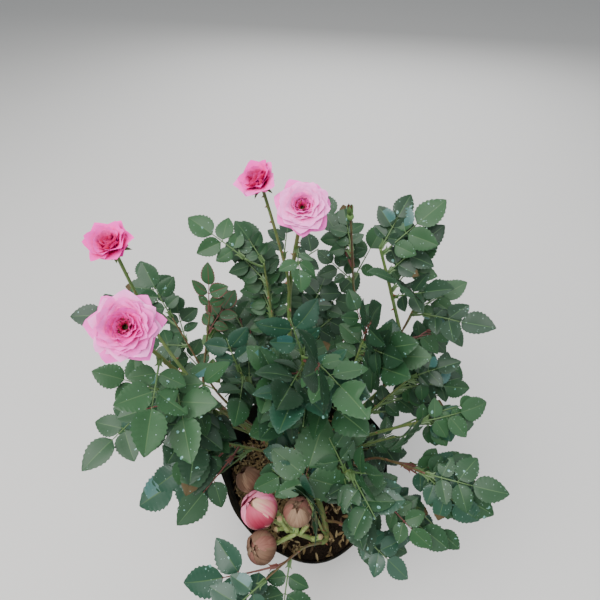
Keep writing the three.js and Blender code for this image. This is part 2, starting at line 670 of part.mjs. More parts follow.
// A leaflet's solid: four faces, folded along a raised midrib from its foot to its tip.
function leafletSolid({ foot, along, face, length }) {
  const side = new THREE.Vector3().crossVectors(face, along);
  const ridge = (length * LEAF.thickness) / 2;
  return solidOf(
    reshaped(new THREE.TetrahedronGeometry(1), (point) => {
      const onMidrib = point.z > 0;
      const far = onMidrib ? (point.x > 0 ? -LEAF.stalkRadius * 0.7 : length) : LEAF.widest * length;
      const across = onMidrib ? 0 : (-Math.sign(point.y) * length * LEAF.width) / 2;
      point.copy(foot).addScaledVector(along, far).addScaledVector(side, across);
      point.addScaledVector(face, onMidrib ? ridge : -ridge);
    }),
  );
}

// A leaf's solids: a three-sided stalk, and leaflets whose feet are sunk into it.
function leafSolids(leaf) {
  const stalk = taperedLimb(leaf.stalk, LEAF.stalkRadius, LEAF.stalkRadius * 0.75, 3, 1);
  return [solidOf(stalk), ...leaf.leaflets.map(leafletSolid)];
}

// A bloom's solid: a lathe of the hip and the petal tiers, with every tier's tips drawn out to a star.
function bloomSolid({ centre, radius, axis, open }) {
  const [side, over] = squareTo(axis);
  const length = Math.min(BLOOM.longest, 1 / Math.sin(open * DEGREE));
  const tiers = BLOOM.tiers.map(({ far, turn, star }) => {
    const angle = open * turn * DEGREE;
    return { out: far * length * Math.sin(angle), up: BLOOM.foot + far * length * Math.cos(angle), star };
  });
  const { foot, hip } = BLOOM;
  const rows = [
    { out: 0, up: foot - hip, star: 0 },
    { out: hip, up: foot - hip / 2, star: 0 },
    ...tiers,
    { out: 0, up: tiers.at(-1).up - BLOOM.dimple, star: 0 },
  ];
  const sides = 2 * BLOOM.tips;
  const lathe = new THREE.LatheGeometry(rows.map(({ out, up }) => new THREE.Vector2(out, up)), sides);
  const places = lathe.attributes.position;
  for (let i = 0; i < places.count; i += 1) {
    const { out, up, star } = rows[i % rows.length];
    const turn = (Math.floor(i / rows.length) / sides) * 2 * Math.PI;
    const reach = out * (1 + star * Math.cos(BLOOM.tips * turn)) * radius;
    const point = centre.clone().addScaledVector(axis, up * radius);
    point.addScaledVector(side, reach * Math.cos(turn)).addScaledVector(over, reach * Math.sin(turn));
    places.setXYZ(i, point.x, point.y, point.z);
  }
  return solidOf(lathe);
}

// The pruned shoot's solids: a fat bud and spent heads, each on its stalk.
function headSolids(shoot) {
  return HEADS.flatMap((head) => {
    const { radius, taper } = HEAD_STALK;
    const stalk = taperedLimb(headStalk(head, shoot), radius, radius * taper, 4, 2);
    const ball = new THREE.SphereGeometry(head.radius, 8, 5).rotateX(Math.PI / 2);
    const { x, y, z } = placeOf(head);
    return [solidOf(stalk), solidOf(ball.translate(x, y, z))];
  });
}

// A shut bud at the tip of a stem.
function tightBudSolid(shoot) {
  const { radius, half, lift } = TIGHT_BUD;
  const bud = new THREE.SphereGeometry(1, 6, 4).rotateX(Math.PI / 2).scale(radius, radius, half);
  const { x, y, z } = shoot.stem.getPoint(1);
  return solidOf(bud.translate(x, y, z + lift));
}

// A shoot's solid: stem, leaves and flower fused into one. A scrap that nothing holds is dropped.
function makeShoot(shoot) {
  const radius = caneRadius(shoot, 1);
  const tipRadius = shoot.tightBud ? TIGHT_BUD.stemRadius : radius * SHOOT_STEM.taper;
  const stem = partOf(shoot.stem, RUNNING_GAP / shoot.length, 1);
  const solids = [solidOf(taperedLimb(stem, radius, tipRadius, SHOOT_STEM.sides, SHOOT_STEM.steps))];
  for (const leaf of growLeaves(shoot)) solids.push(...leafSolids(leaf));
  if (shoot.bloom) solids.push(bloomSolid(shoot.bloom));
  if (shoot.heads) solids.push(...headSolids(shoot));
  if (shoot.tightBud) solids.push(tightBudSolid(shoot));
  const whole = solids.reduce((joined, solid) => joined.add(solid));
  const largest = whole.decompose().sort((one, other) => other.volume() - one.volume())[0];
  return geometryOf(largest);
}

function makeCane(shoot) {
  const { sides, steps } = facetsOf(shoot);
  const curve = partOf(shoot.cane, shoot.start, 1);
  return taperedLimb(curve, caneRadius(shoot, shoot.start), caneRadius(shoot, 1), sides, steps);
}

function named(name, geometry, look) {
  const mesh = new THREE.Mesh(geometry, new THREE.MeshStandardMaterial({ ...LOOKS[look], metalness: 0 }));
  mesh.name = name;
  return mesh;
}

SHOOTS.forEach((shoot, index) => {
  shoot.seed = index + 1;
  shoot.stem = stemCurve(shoot);
  shoot.hearts = HEARTS.map((share) => shoot.stem.getPoint(share));
  if (shoot.bloom) {
    shoot.bloom.axis = shoot.bloom.facing.clone().normalize();
    shoot.bloom.centre = placeOf(shoot).addScaledVector(shoot.bloom.axis, shoot.bloom.radius * BLOOM.lift);
  }
});
const firstCanes = SHOOTS.filter((shoot) => shoot.from === "stem");
const sideCanes = SHOOTS.filter((shoot) => shoot.from !== "stem");
for (const shoot of [...firstCanes, ...sideCanes]) {
  shoot.cane = caneCurve(shoot);
  shoot.start = clearOfParent(shoot);
}
const LIMBS = limbBalls();
const FLOWERS = flowerBalls();

const bush = new THREE.Group();
bush.add(named("bag", makeBag(), "bag"));
bush.add(named("potting_mix", makeSoil(), "soil"));
bush.add(named("short_stem", makeStem(), "stem"));
for (const shoot of SHOOTS) {
  bush.add(named("cane_" + shoot.name, makeCane(shoot), "cane"));
  bush.add(named("shoot_" + shoot.name, makeShoot(shoot), shoot.bloom ? "flowering" : "foliage"));
}

export default bush;
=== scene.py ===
"""A miniature rose bush in its nursery bag: the looks of every piece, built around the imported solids.

The bush grows by the rule of its source, in millimetres, and is carried on to finer leaves here.
Every mesh is then made in metres, in the frame of the solids.
"""

import logging
import math
from dataclasses import dataclass, field, replace
from enum import Enum
from typing import Callable, Sequence

import bmesh
import bpy
import numpy as np
from bpy.types import ID, Material, Mesh, Node, NodeSocket, NodeTree, Object
from numpy.linalg import norm
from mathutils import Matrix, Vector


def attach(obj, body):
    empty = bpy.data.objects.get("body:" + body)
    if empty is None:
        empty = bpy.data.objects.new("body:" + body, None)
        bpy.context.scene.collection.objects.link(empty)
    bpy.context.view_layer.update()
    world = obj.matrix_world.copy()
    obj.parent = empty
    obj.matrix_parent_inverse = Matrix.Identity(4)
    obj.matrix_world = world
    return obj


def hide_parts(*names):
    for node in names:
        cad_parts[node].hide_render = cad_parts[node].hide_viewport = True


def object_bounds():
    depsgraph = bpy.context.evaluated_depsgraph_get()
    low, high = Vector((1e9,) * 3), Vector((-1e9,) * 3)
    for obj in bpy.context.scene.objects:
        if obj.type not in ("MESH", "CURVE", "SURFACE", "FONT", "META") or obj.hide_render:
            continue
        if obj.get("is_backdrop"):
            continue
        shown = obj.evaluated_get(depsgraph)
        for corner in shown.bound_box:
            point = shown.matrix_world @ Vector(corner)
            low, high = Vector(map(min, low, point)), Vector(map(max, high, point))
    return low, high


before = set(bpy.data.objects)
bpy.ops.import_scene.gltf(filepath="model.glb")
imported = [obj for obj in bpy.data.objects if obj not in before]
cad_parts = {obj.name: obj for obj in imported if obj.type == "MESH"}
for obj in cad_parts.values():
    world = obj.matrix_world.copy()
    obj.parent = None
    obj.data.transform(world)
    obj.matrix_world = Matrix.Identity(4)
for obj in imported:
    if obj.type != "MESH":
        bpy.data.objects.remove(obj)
CAD_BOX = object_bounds()
LOG = logging.getLogger("rose_bush")
MM = 0.001
DEGREE = math.pi / 180
FULL_TURN = 2 * math.pi
GOLDEN_TURN = 137.5
NEARLY_UPRIGHT = 0.05
UP = np.array([0.0, 0.0, 1.0])
Array = np.ndarray
Amount = float | Array
Pair = tuple[float, float]
Triple = tuple[float, float, float]
Colour = Triple


# Small sums that the plant and the bag share


def mix(low: Amount, high: Amount, share: Amount) -> Amount:
    """Returns the value at a share of the way from low to high."""
    return low + (high - low) * share


def unit(vector: Array) -> Array:
    """Returns the vector at length one."""
    return vector / norm(vector)


def turned(vector: Array, axis: Array, angle: float) -> Array:
    """Returns a vector turned about an axis of length one, by an angle in degrees."""
    cosine, sine = math.cos(angle * DEGREE), math.sin(angle * DEGREE)
    return vector * cosine + np.cross(axis, vector) * sine + axis * (axis @ vector) * (1 - cosine)


def place_of(toward: float, out: float, height: float) -> Array:
    """Returns the place at a compass angle in degrees, a distance from the axis and a height."""
    return np.array([out * math.cos(toward * DEGREE), out * math.sin(toward * DEGREE), height])


def direction_of(toward: float, rise: float) -> Array:
    """Returns the direction at a compass angle and a rise from level, in degrees."""
    return place_of(toward, math.cos(rise * DEGREE), math.sin(rise * DEGREE))


def square_to(direction: Array) -> tuple[Array, Array]:
    """Works out two directions square to a third, the first of them level.

    Args:
        direction: The third one.

    Returns:
        Both directions.
    """
    side = np.cross(UP, direction)
    if norm(side) < NEARLY_UPRIGHT:
        side = np.array([0.0, 1.0, 0.0])
    side = unit(side)
    return side, unit(np.cross(direction, side))


def spoke(side: Array, over: Array, turn: float) -> Array:
    """Returns the direction at a turn in radians from side toward over."""
    return side * math.cos(turn) + over * math.sin(turn)


def circle(count: int) -> Array:
    """Returns angles in radians, spaced evenly round a circle."""
    return np.arange(count) / count * FULL_TURN


def round_axis(turn: Array, reach: Amount, height: Amount) -> Array:
    """Returns places at angles in radians, distances from the upright axis and heights."""
    return np.stack([reach * np.cos(turn), reach * np.sin(turn), height + 0 * turn], -1)


def way_along(line: Array) -> Array:
    """Returns how far along a line each of its places lies."""
    return np.concatenate([[0.0], np.cumsum(norm(np.diff(line, axis=0), axis=1))])


class Dice:
    """The source's seeded row of numbers from 0 to 1."""

    MODULUS = 2147483647
    FACTOR = 48271
    SEED_FACTOR = 7919
    SEED_SHIFT = 12345

    def __init__(self, seed: int) -> None:
        """Starts the row.

        Args:
            seed: A whole number.
        """
        self.state = (seed * self.SEED_FACTOR + self.SEED_SHIFT) % self.MODULUS
        self.roll()
        self.roll()

    def roll(self) -> float:
        """Returns the next number from 0 to 1."""
        self.state = (self.state * self.FACTOR) % self.MODULUS
        return self.state / self.MODULUS

    def spread(self, most: float) -> float:
        """Returns a number from -most to most."""
        return most * (2 * self.roll() - 1)

    def shift(self) -> float:
        """Returns the shift of a wave, in radians."""
        return self.roll() * 6.28

    def pick(self, choices: Sequence) -> object:
        """Returns one of the choices."""
        return choices[int(self.roll() * len(choices)) % len(choices)]


@dataclass(frozen=True)
class Bend:
    """A Bezier curve in millimetres, given by its three or four corners."""

    corners: Array
    parts: int = 200

    def at(self, share: float) -> Array:
        """Works out a place on the curve.

        Args:
            share: How far along it, from 0 to 1.

        Returns:
            The place.
        """
        points = self.corners
        while len(points) > 1:
            points = mix(points[:-1], points[1:], share)
        return points[0]

    def heading(self, share: float) -> Array:
        """Returns the curve's direction at a share of it."""
        step = 1e-4
        return unit(self.at(min(1.0, share + step)) - self.at(max(0.0, share - step)))

    def length(self) -> float:
        """Returns the curve's length."""
        points = np.array([self.at(i / self.parts) for i in range(self.parts + 1)])
        return float(norm(np.diff(points, axis=0), axis=1).sum())

    def row(self, step: float) -> Array:
        """Returns places along the curve, a step apart at most."""
        count = max(2, math.ceil(self.length() / step))
        return np.array([self.at(i / count) for i in range(count + 1)])


# Finishes


@dataclass(frozen=True)
class Nodes:
    """A short way to add and link the nodes of one shader or geometry tree."""

    tree: NodeTree

    def add(self, kind: str, inputs: dict | None = None, **settings: object) -> Node:
        """Adds a node.

        Args:
            kind: The node's type name.
            inputs: Values or sockets by the input's name or number.
            **settings: The node's own settings.

        Returns:
            The new node.
        """
        node = self.tree.nodes.new(kind)
        for name, value in settings.items():
            setattr(node, name, value)
        for key, value in (inputs or {}).items():
            if isinstance(value, NodeSocket):
                self.tree.links.new(value, node.inputs[key])
            else:
                node.inputs[key].default_value = value
        return node

    def open(self, way: str, **sockets: Sequence[str]) -> None:
        """Gives a node group its inputs or outputs.

        Args:
            way: INPUT or OUTPUT.
            **sockets: Their names, by kind.
        """
        for kind, names in sockets.items():
            for name in names:
                self.tree.interface.new_socket(name, in_out=way, socket_type="NodeSocket" + kind)

    def blend(self, share: float | NodeSocket, low: NodeSocket, high: NodeSocket) -> NodeSocket:
        """Mixes two colours."""
        return self.add("ShaderNodeMix", {0: share, 6: low, 7: high}, data_type="RGBA").outputs[2]

    def mottle(self, inputs: dict) -> Node:
        """Adds the mottling group, with its inputs by name."""
        usual = {"Detail": 3.0, "Softness": 0.2}
        return self.add("ShaderNodeGroup", usual | inputs, node_tree=mottle_group())

    def cover(
        self, shader: Node, colour: NodeSocket, height: NodeSocket,
        bump: float, depth: float,
    ) -> None:
        """Gives a shader its colour and its relief.

        Args:
            shader: The Principled BSDF.
            colour: Where its base colour comes from.
            height: Where its relief comes from.
            bump: The relief's strength.
            depth: The relief's depth in metres.
        """
        relief = self.add("ShaderNodeBump", {"Strength": bump, "Distance": depth, "Height": height})
        self.tree.links.new(colour, shader.inputs["Base Color"])
        self.tree.links.new(relief.outputs[0], shader.inputs["Normal"])


def opaque(colour: Colour) -> tuple[float, float, float, float]:
    """Returns a colour with full alpha."""
    return (*colour, 1.0)


def mottle_group() -> NodeTree:
    """Builds once the group that mottles a surface between two colours, and gives the pattern's height.

    Returns:
        The node group, with the outputs Colour and Height.
    """
    found = bpy.data.node_groups.get("Mottle")
    if found:
        return found
    group = bpy.data.node_groups.new("Mottle", "ShaderNodeTree")
    nodes = Nodes(group)
    nodes.open("INPUT", Vector=("Vector",), Float=("Scale", "Detail", "Softness"), Color=("Low", "High"))
    nodes.open("OUTPUT", Color=("Colour",), Float=("Height",))
    given = nodes.add("NodeGroupInput").outputs
    pattern = {name: given[name] for name in ("Vector", "Scale", "Detail")}
    noise = nodes.add("ShaderNodeTexNoise", pattern)
    low, high = (
        nodes.add("ShaderNodeMath", {0: 0.5, 1: given["Softness"]}, operation=way).outputs[0]
        for way in ("SUBTRACT", "ADD")
    )
    share = nodes.add(
        "ShaderNodeMapRange", {"Value": noise.outputs["Fac"], "From Min": low, "From Max": high}
    )
    blend = nodes.blend(share.outputs["Result"], given["Low"], given["High"])
    nodes.add("NodeGroupOutput", {"Colour": blend, "Height": noise.outputs["Fac"]})
    return group


@dataclass(frozen=True)
class Finish:
    """A plain finish: one colour all over, and its gloss."""

    name: str
    colour: Colour
    roughness: float = 0.5
    specular: float = 0.5

    def material(self) -> Material:
        """Makes the finish's material, once.

        Returns:
            The material, new or known.
        """
        found = bpy.data.materials.get(self.name)
        if found:
            return found
        made = bpy.data.materials.new(self.name)
        made.use_nodes = True
        self.dress(Nodes(made.node_tree), made.node_tree.nodes["Principled BSDF"])
        return made

    def dress(self, nodes: Nodes, shader: Node) -> None:
        """Sets the shader.

        Args:
            nodes: The material's tree.
            shader: Its Principled BSDF.
        """
        shader.inputs["Base Color"].default_value = opaque(self.colour)
        shader.inputs["Roughness"].default_value = self.roughness
        shader.inputs["Specular IOR Level"].default_value = self.specular


@dataclass(frozen=True)
class Mottled(Finish):
    """A finish that is mottled with two other colours, coarse and fine, and rough to the touch."""

    coarse: Colour = (0.1, 0.1, 0.1)
    fine: Colour = (0.1, 0.1, 0.1)
    coarse_scale: float = 30.0
    fine_scale: float = 300.0
    softness: float = 0.15
    stretch: Triple = (1.0, 1.0, 1.0)
    bump: float = 0.3
    depth: float = 0.4 * MM

    def dress(self, nodes: Nodes, shader: Node) -> None:
        """Adds the two mottles and their relief.

        Args:
            nodes: The material's tree.
            shader: Its Principled BSDF.
        """
        super().dress(nodes, shader)
        place = nodes.add("ShaderNodeTexCoord").outputs["Object"]
        fitted = nodes.add("ShaderNodeMapping", {"Vector": place, "Scale": self.stretch})
        under = opaque(self.coarse)
        for scale, low in ((self.coarse_scale, self.colour), (self.fine_scale, self.fine)):
            layer = nodes.mottle({
                "Vector": fitted.outputs[0], "Scale": scale, "Softness": self.softness,
                "Low": opaque(low), "High": under,
            })
            under = layer.outputs["Colour"]
        nodes.cover(shader, under, layer.outputs["Height"], self.bump, self.depth)


@dataclass(frozen=True)
class Petal(Finish):
    """A petal: its colour runs from the claw to the rim, with fine streaks along it."""

    claw: Colour = (0.8, 0.7, 0.4)
    middle: Colour = (0.8, 0.3, 0.4)
    rim: Colour = (0.9, 0.6, 0.7)
    streaks: float = 22.0
    streak_length: float = 2.0
    streaking: float = 0.22
    bump: float = 0.35
    depth: float = 0.15 * MM
    claw_at: float = 0.04
    middle_at: float = 0.3
    colour_at: float = 0.68
    rim_at: float = 0.97

    def dress(self, nodes: Nodes, shader: Node) -> None:
        """Adds the run of colour and the streaks, both on the petal's own map.

        Args:
            nodes: The material's tree.
            shader: Its Principled BSDF.
        """
        super().dress(nodes, shader)
        place = nodes.add("ShaderNodeUVMap", uv_map=Form.MAP).outputs[0]
        along = nodes.add("ShaderNodeSeparateXYZ", {0: place}).outputs["Y"]
        run = nodes.add("ShaderNodeValToRGB", {0: along})
        stops = run.color_ramp.elements
        stops[0].color, stops[0].position = opaque(self.claw), self.claw_at
        stops[1].color, stops[1].position = opaque(self.rim), self.rim_at
        for spot, colour in ((self.middle_at, self.middle), (self.colour_at, self.colour)):
            stops.new(spot).color = opaque(colour)
        stretch = (self.streaks, self.streak_length, 1.0)
        fitted = nodes.add("ShaderNodeMapping", {"Vector": place, "Scale": stretch})
        streak = nodes.mottle({
            "Vector": fitted.outputs[0], "Scale": 1.0, "Low": opaque(self.middle),
            "High": opaque(self.rim),
        })
        blend = nodes.blend(self.streaking, run.outputs["Color"], streak.outputs["Colour"])
        nodes.cover(shader, blend, streak.outputs["Height"], self.bump, self.depth)


class Green(Enum):
    """What colour a leaf is dealt."""

    DEEP = Finish("leaf_deep_green", (0.011, 0.04, 0.017), 0.46, 0.4)
    DARK = Finish("leaf_dark_green", (0.016, 0.058, 0.021), 0.48, 0.4)
    # A bluer leaf tone, partly the leaf's own colour and partly a painted bluish sheen of the sky.
    BLUE = Finish("leaf_blue_green", (0.016, 0.062, 0.034), 0.43, 0.45)
    MID = Finish("leaf_mid_green", (0.024, 0.078, 0.027), 0.5, 0.35)
    FRESH = Finish("leaf_fresh_green", (0.034, 0.097, 0.027), 0.5, 0.35)
    YOUNG = Finish("leaf_young_green", (0.056, 0.129, 0.032), 0.5, 0.35)


class LeafTrim(Enum):
    """The finishes of a leaf beside its blade."""

    RIB = Finish("midrib_green", (0.052, 0.113, 0.042), 0.5, 0.35)
    RED_RIB = Finish("midrib_red", (0.13, 0.03, 0.025), 0.5, 0.35)
    RED_EDGE = Finish("leaf_edge_red", (0.12, 0.03, 0.025), 0.5, 0.35)
    BROWN_EDGE = Finish("leaf_edge_brown", (0.072, 0.052, 0.022), 0.7, 0.25)
    # A painted reflection of the sky: a pale blue-green patch on one side of a few blades stands in for
    # their gloss.
    SKY = Finish("leaf_sky_gloss", (0.034, 0.115, 0.1), 0.36, 0.5)


STALK_GREEN = Finish("leaf_stalk_green", (0.07, 0.135, 0.04), 0.5)
STALK_RED = Finish("leaf_stalk_red", (0.13, 0.04, 0.03), 0.5)
# Dried water marks: whitish residue of their own, tinted blue-green as a painted reflection of the sky.
WATER_MARK_AND_SKY_TINT = Finish("water_mark", (0.17, 0.28, 0.23), 0.5, 0.4)
# The drops are clear water; this pale blue-green is a painted reflection of the sky in them.
DROP_PAINTED_REFLECTION = Finish("water_drop", (0.13, 0.29, 0.25), 0.2, 0.6)
PRICKLE = Finish("prickle_red_brown", (0.2, 0.08, 0.04), 0.45)
SEPAL = Finish("sepal_green", (0.09, 0.18, 0.05), 0.5)
HIP = Finish("hip_green", (0.11, 0.22, 0.055), 0.45)
FILAMENT = Finish("filament_straw", (0.42, 0.24, 0.08), 0.6)
ANTHER = Finish("anther_brown", (0.085, 0.045, 0.015), 0.8)
CUT_WOOD = Finish("cut_wood", (0.25, 0.18, 0.09), 0.8)
CANE = Mottled(
    "green_cane_bark", (0.12, 0.2, 0.05), 0.48, coarse=(0.17, 0.14, 0.05), fine=(0.08, 0.145, 0.035),
    coarse_scale=22, fine_scale=420, softness=0.16, stretch=(1, 1, 0.35), bump=0.4,
)
RED_CANE = Mottled(
    "red_cane_bark", (0.15, 0.075, 0.035), 0.48, coarse=(0.12, 0.14, 0.04), fine=(0.09, 0.045, 0.025),
    coarse_scale=26, fine_scale=420, softness=0.16, stretch=(1, 1, 0.35), bump=0.4,
)
OLD_BARK = Mottled(
    "grey_stem_bark", (0.11, 0.075, 0.045), 0.85, 0.3, coarse=(0.23, 0.18, 0.12),
    fine=(0.05, 0.034, 0.02), coarse_scale=60, fine_scale=500, stretch=(1, 1, 0.3), bump=0.9,
    depth=1.2 * MM,
)
KNOBBY = Mottled(
    "pruned_wood", (0.2, 0.33, 0.09), 0.5, coarse=(0.34, 0.36, 0.13), fine=(0.14, 0.19, 0.05),
    coarse_scale=90, fine_scale=600, bump=0.5,
)
FILM = Mottled(
    "black_film", (0.006, 0.0085, 0.009), 0.36, 0.5, coarse=(0.011, 0.017, 0.018),
    fine=(0.007, 0.01, 0.0105), coarse_scale=18, fine_scale=60, softness=0.25, bump=0.35, depth=0.6 * MM,
)
# Near-black partly as the mix's own dark soil, partly as painted shade for the shaded inside of the bag.
MIX = Mottled(
    "dark_crumbs", (0.022, 0.014, 0.009), 0.95, 0.15, coarse=(0.042, 0.026, 0.015),
    fine=(0.01, 0.007, 0.005), coarse_scale=120, fine_scale=900, bump=1.0, depth=2.0 * MM,
)
HUSKS = (
    Finish("husk_gold", (0.23, 0.165, 0.075), 0.7, 0.3),
    Finish("husk_straw", (0.38, 0.3, 0.16), 0.7, 0.3),
    Finish("husk_brown", (0.08, 0.052, 0.027), 0.8, 0.3),
)
PALE = Petal(
    "petal_pale", (0.97, 0.12, 0.52), 0.7, 0.15,
    claw=(0.72, 0.14, 0.18), middle=(0.88, 0.035, 0.33), rim=(0.98, 0.18, 0.66),
)
BLUSH = Petal(
    "petal_blush", (0.97, 0.215, 0.61), 0.7, 0.15,
    claw=(0.82, 0.28, 0.32), middle=(0.89, 0.09, 0.42), rim=(0.99, 0.34, 0.77),
)
ROSY = Petal(
    "petal_rosy", (0.9, 0.035, 0.38), 0.7, 0.15,
    claw=(0.55, 0.07, 0.12), middle=(0.78, 0.015, 0.27), rim=(0.95, 0.075, 0.54),
)
HOT = Petal(
    "petal_hot", (0.8, 0.025, 0.25), 0.7, 0.15,
    claw=(0.42, 0.1, 0.07), middle=(0.64, 0.015, 0.18), rim=(0.88, 0.08, 0.42),
)
CREAM = Petal(
    "petal_cream", (0.74, 0.17, 0.27), 0.6, 0.3,
    claw=(0.3, 0.36, 0.12), middle=(0.6, 0.04, 0.15), rim=(0.66, 0.56, 0.34), streaks=9, streaking=0.55,
)
CRIMSON = Petal(
    "petal_crimson", (0.3, 0.02, 0.05), 0.55, 0.35,
    claw=(0.2, 0.12, 0.05), middle=(0.22, 0.015, 0.035), rim=(0.55, 0.08, 0.15),
)
STREAKED = Petal(
    "petal_streaked", (0.8, 0.075, 0.26), 0.6, 0.3,
    claw=(0.2, 0.25, 0.08), middle=(0.42, 0.02, 0.08), rim=(0.88, 0.34, 0.48), streaks=8, streaking=0.5,
)
PAPERS = tuple(
    Petal(name, colour, 0.9, 0.15, claw=claw, middle=middle, rim=rim, streaks=10, streaking=0.5)
    for name, colour, claw, middle, rim in (
        ("paper_brown", (0.13, 0.07, 0.045), (0.09, 0.07, 0.03), (0.09, 0.045, 0.03), (0.2, 0.12, 0.08)),
        ("paper_tan", (0.22, 0.135, 0.085), (0.13, 0.1, 0.045), (0.14, 0.075, 0.05), (0.31, 0.21, 0.14)),
        ("paper_rust", (0.18, 0.075, 0.055), (0.12, 0.07, 0.035), (0.11, 0.04, 0.033), (0.27, 0.13, 0.1)),
    )
)


# Meshes


def grid(rows: int, columns: int, closed: bool = False) -> Array:
    """Lays four-cornered faces over rows of points.

    Args:
        rows: How many rows of points.
        columns: How many points in a row.
        closed: Whether each row runs round to its own start.

    Returns:
        The faces' corners, one face to a line.
    """
    wide = columns if closed else columns - 1
    row, column = np.meshgrid(np.arange(rows - 1), np.arange(wide), indexing="ij")
    following = (column + 1) % columns
    corners = [row * columns + column, row * columns + following]
    corners += [(row + 1) * columns + following, (row + 1) * columns + column]
    return np.stack(corners, -1).reshape(-1, 4)


def fan(middle: int, first: int, sides: int) -> list[list[int]]:
    """Returns three-cornered faces between a middle point and a ring that starts at a point."""
    return [[middle, first + (i + 1) % sides, first + i] for i in range(sides)]


def placed(name: str, data: ID) -> Object:
    """Makes an object and links it to the scene.

    Args:
        name: Its name.
        data: Its mesh, light or camera.

    Returns:
        The object.
    """
    thing = bpy.data.objects.new(name, data)
    bpy.context.scene.collection.objects.link(thing)
    return thing


class Form:
    """Points, faces, finishes and map places in millimetres, which grow into one mesh."""

    MAP = "petal_map"

    def __init__(self) -> None:
        """Starts empty."""
        self.points: list[Array] = []
        self.places: list[Array] = []
        self.faces: list[Sequence[int]] = []
        self.looks: list[int] = []
        self.finishes: dict[Finish, int] = {}
        self.count = 0

    def look(self, finish: Finish) -> int:
        """Returns a finish's number in this form, new or known."""
        return self.finishes.setdefault(finish, len(self.finishes))

    def add(
        self, points: Array, faces: Array | Sequence[Sequence[int]],
        finish: Finish | Sequence[int], places: Array | None = None,
    ) -> None:
        """Adds a piece.

        Args:
            points: Its points, in millimetres.
            faces: The corners of each face.
            finish: One finish, or the number of each face's finish.
            places: Each point's place on the petal map.
        """
        plain = faces.tolist() if isinstance(faces, Array) else faces
        self.faces.extend([corner + self.count for corner in face] for face in plain)
        self.looks.extend([self.look(finish)] * len(plain) if isinstance(finish, Finish) else finish)
        self.points.append(points)
        self.places.append(np.zeros((len(points), 2)) if places is None else places)
        self.count += len(points)

    def mesh(self, name: str) -> Mesh:
        """Makes a smooth mesh in metres.

        Args:
            name: The mesh's name.

        Returns:
            The mesh.
        """
        mesh = bpy.data.meshes.new(name)
        mesh.from_pydata((np.concatenate(self.points) * MM).tolist(), [], self.faces)
        mesh.polygons.foreach_set("use_smooth", [True] * len(mesh.polygons))
        return mesh

    def helper(self, name: str) -> Object:
        """Makes an object that only helps to make others, and that isn't rendered.

        Args:
            name: The object's name.

        Returns:
            The object.
        """
        thing = placed(name, self.mesh(name))
        thing.hide_render = True
        return thing

    def piece(self, name: str, slot: str, *nodes: str) -> Object:
        """Makes the piece and rides it on the bush's one body.

        Args:
            name: The piece's name.
            slot: The record's slot, passed on to settle.
            *nodes: The nodes that it stands for.

        Returns:
            The new object.
        """
        mesh = self.mesh(name)
        places = np.concatenate(self.places)
        if places.any():
            corners = np.empty(len(mesh.loops), np.int32)
            mesh.loops.foreach_get("vertex_index", corners)
            mesh.uv_layers.new(name=self.MAP).data.foreach_set("uv", places[corners].ravel())
        for finish in self.finishes:
            mesh.materials.append(finish.material())
        mesh.polygons.foreach_set("material_index", self.looks)
        mesh.update()
        return settle(placed(name, mesh), slot, *nodes)


def settle(thing: Object, slot: str, *nodes: str) -> Object:
    """Rides a finished piece on the bush's one body and hides the solids of the nodes that it stands for.

    Args:
        thing: The piece, in place.
        slot: Not used.
        *nodes: The nodes that it stands for.

    Returns:
        The piece.
    """
    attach(thing, "root")
    if nodes:
        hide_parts(*nodes)
    LOG.info("%s: %d faces", thing.name, len(thing.data.polygons))
    return thing


def tube(
    form: Form, line: Array, radii: Array, sides: int, finish: Finish,
    relief: Callable[[Array, Array], Array] | None = None, end: Finish | None = None,
) -> None:
    """Adds a round limb along a line.

    Args:
        form: What it is added to.
        line: Its middle line.
        radii: Its radius at each point of the line.
        sides: How many sides it has.
        finish: Its finish.
        relief: The radius's change, from the way along in millimetres and the angle round.
        end: The finish of its far end, where that differs.
    """
    headings = np.gradient(line, axis=0)
    headings /= norm(headings, axis=1)[:, None]
    side, _ = square_to(headings[0])
    angles = circle(sides)
    points = []
    for spot, heading, radius, far in zip(line, headings, radii, way_along(line)):
        side = unit(side - heading * (side @ heading))
        over = np.cross(heading, side)
        change = relief(np.full(sides, far), angles) if relief else 0.0
        reach = (radius * (1 + change)) * np.ones(sides)
        ring = np.outer(np.cos(angles), side) + np.outer(np.sin(angles), over)
        points.append(spot + ring * reach[:, None])
    form.add(np.concatenate(points), grid(len(line), sides, closed=True), finish)
    first = form.count - len(line) * sides
    near, far = range(first, first + sides)[::-1], range(form.count - sides, form.count)
    for ring, look in ((near, finish), (far, end or finish)):
        form.faces.append(list(ring))
        form.looks.append(form.look(look))


# The bag and what fills it


@dataclass(frozen=True)
class Wave:
    """A wave round the bag's plan: how many, how strong and which way the first one points."""

    count: int
    share: float
    toward: float

    def at(self, turn: Array) -> Array:
        """Returns the wave's height at an angle in radians."""
        return self.share * np.cos(self.count * (turn - self.toward * DEGREE))


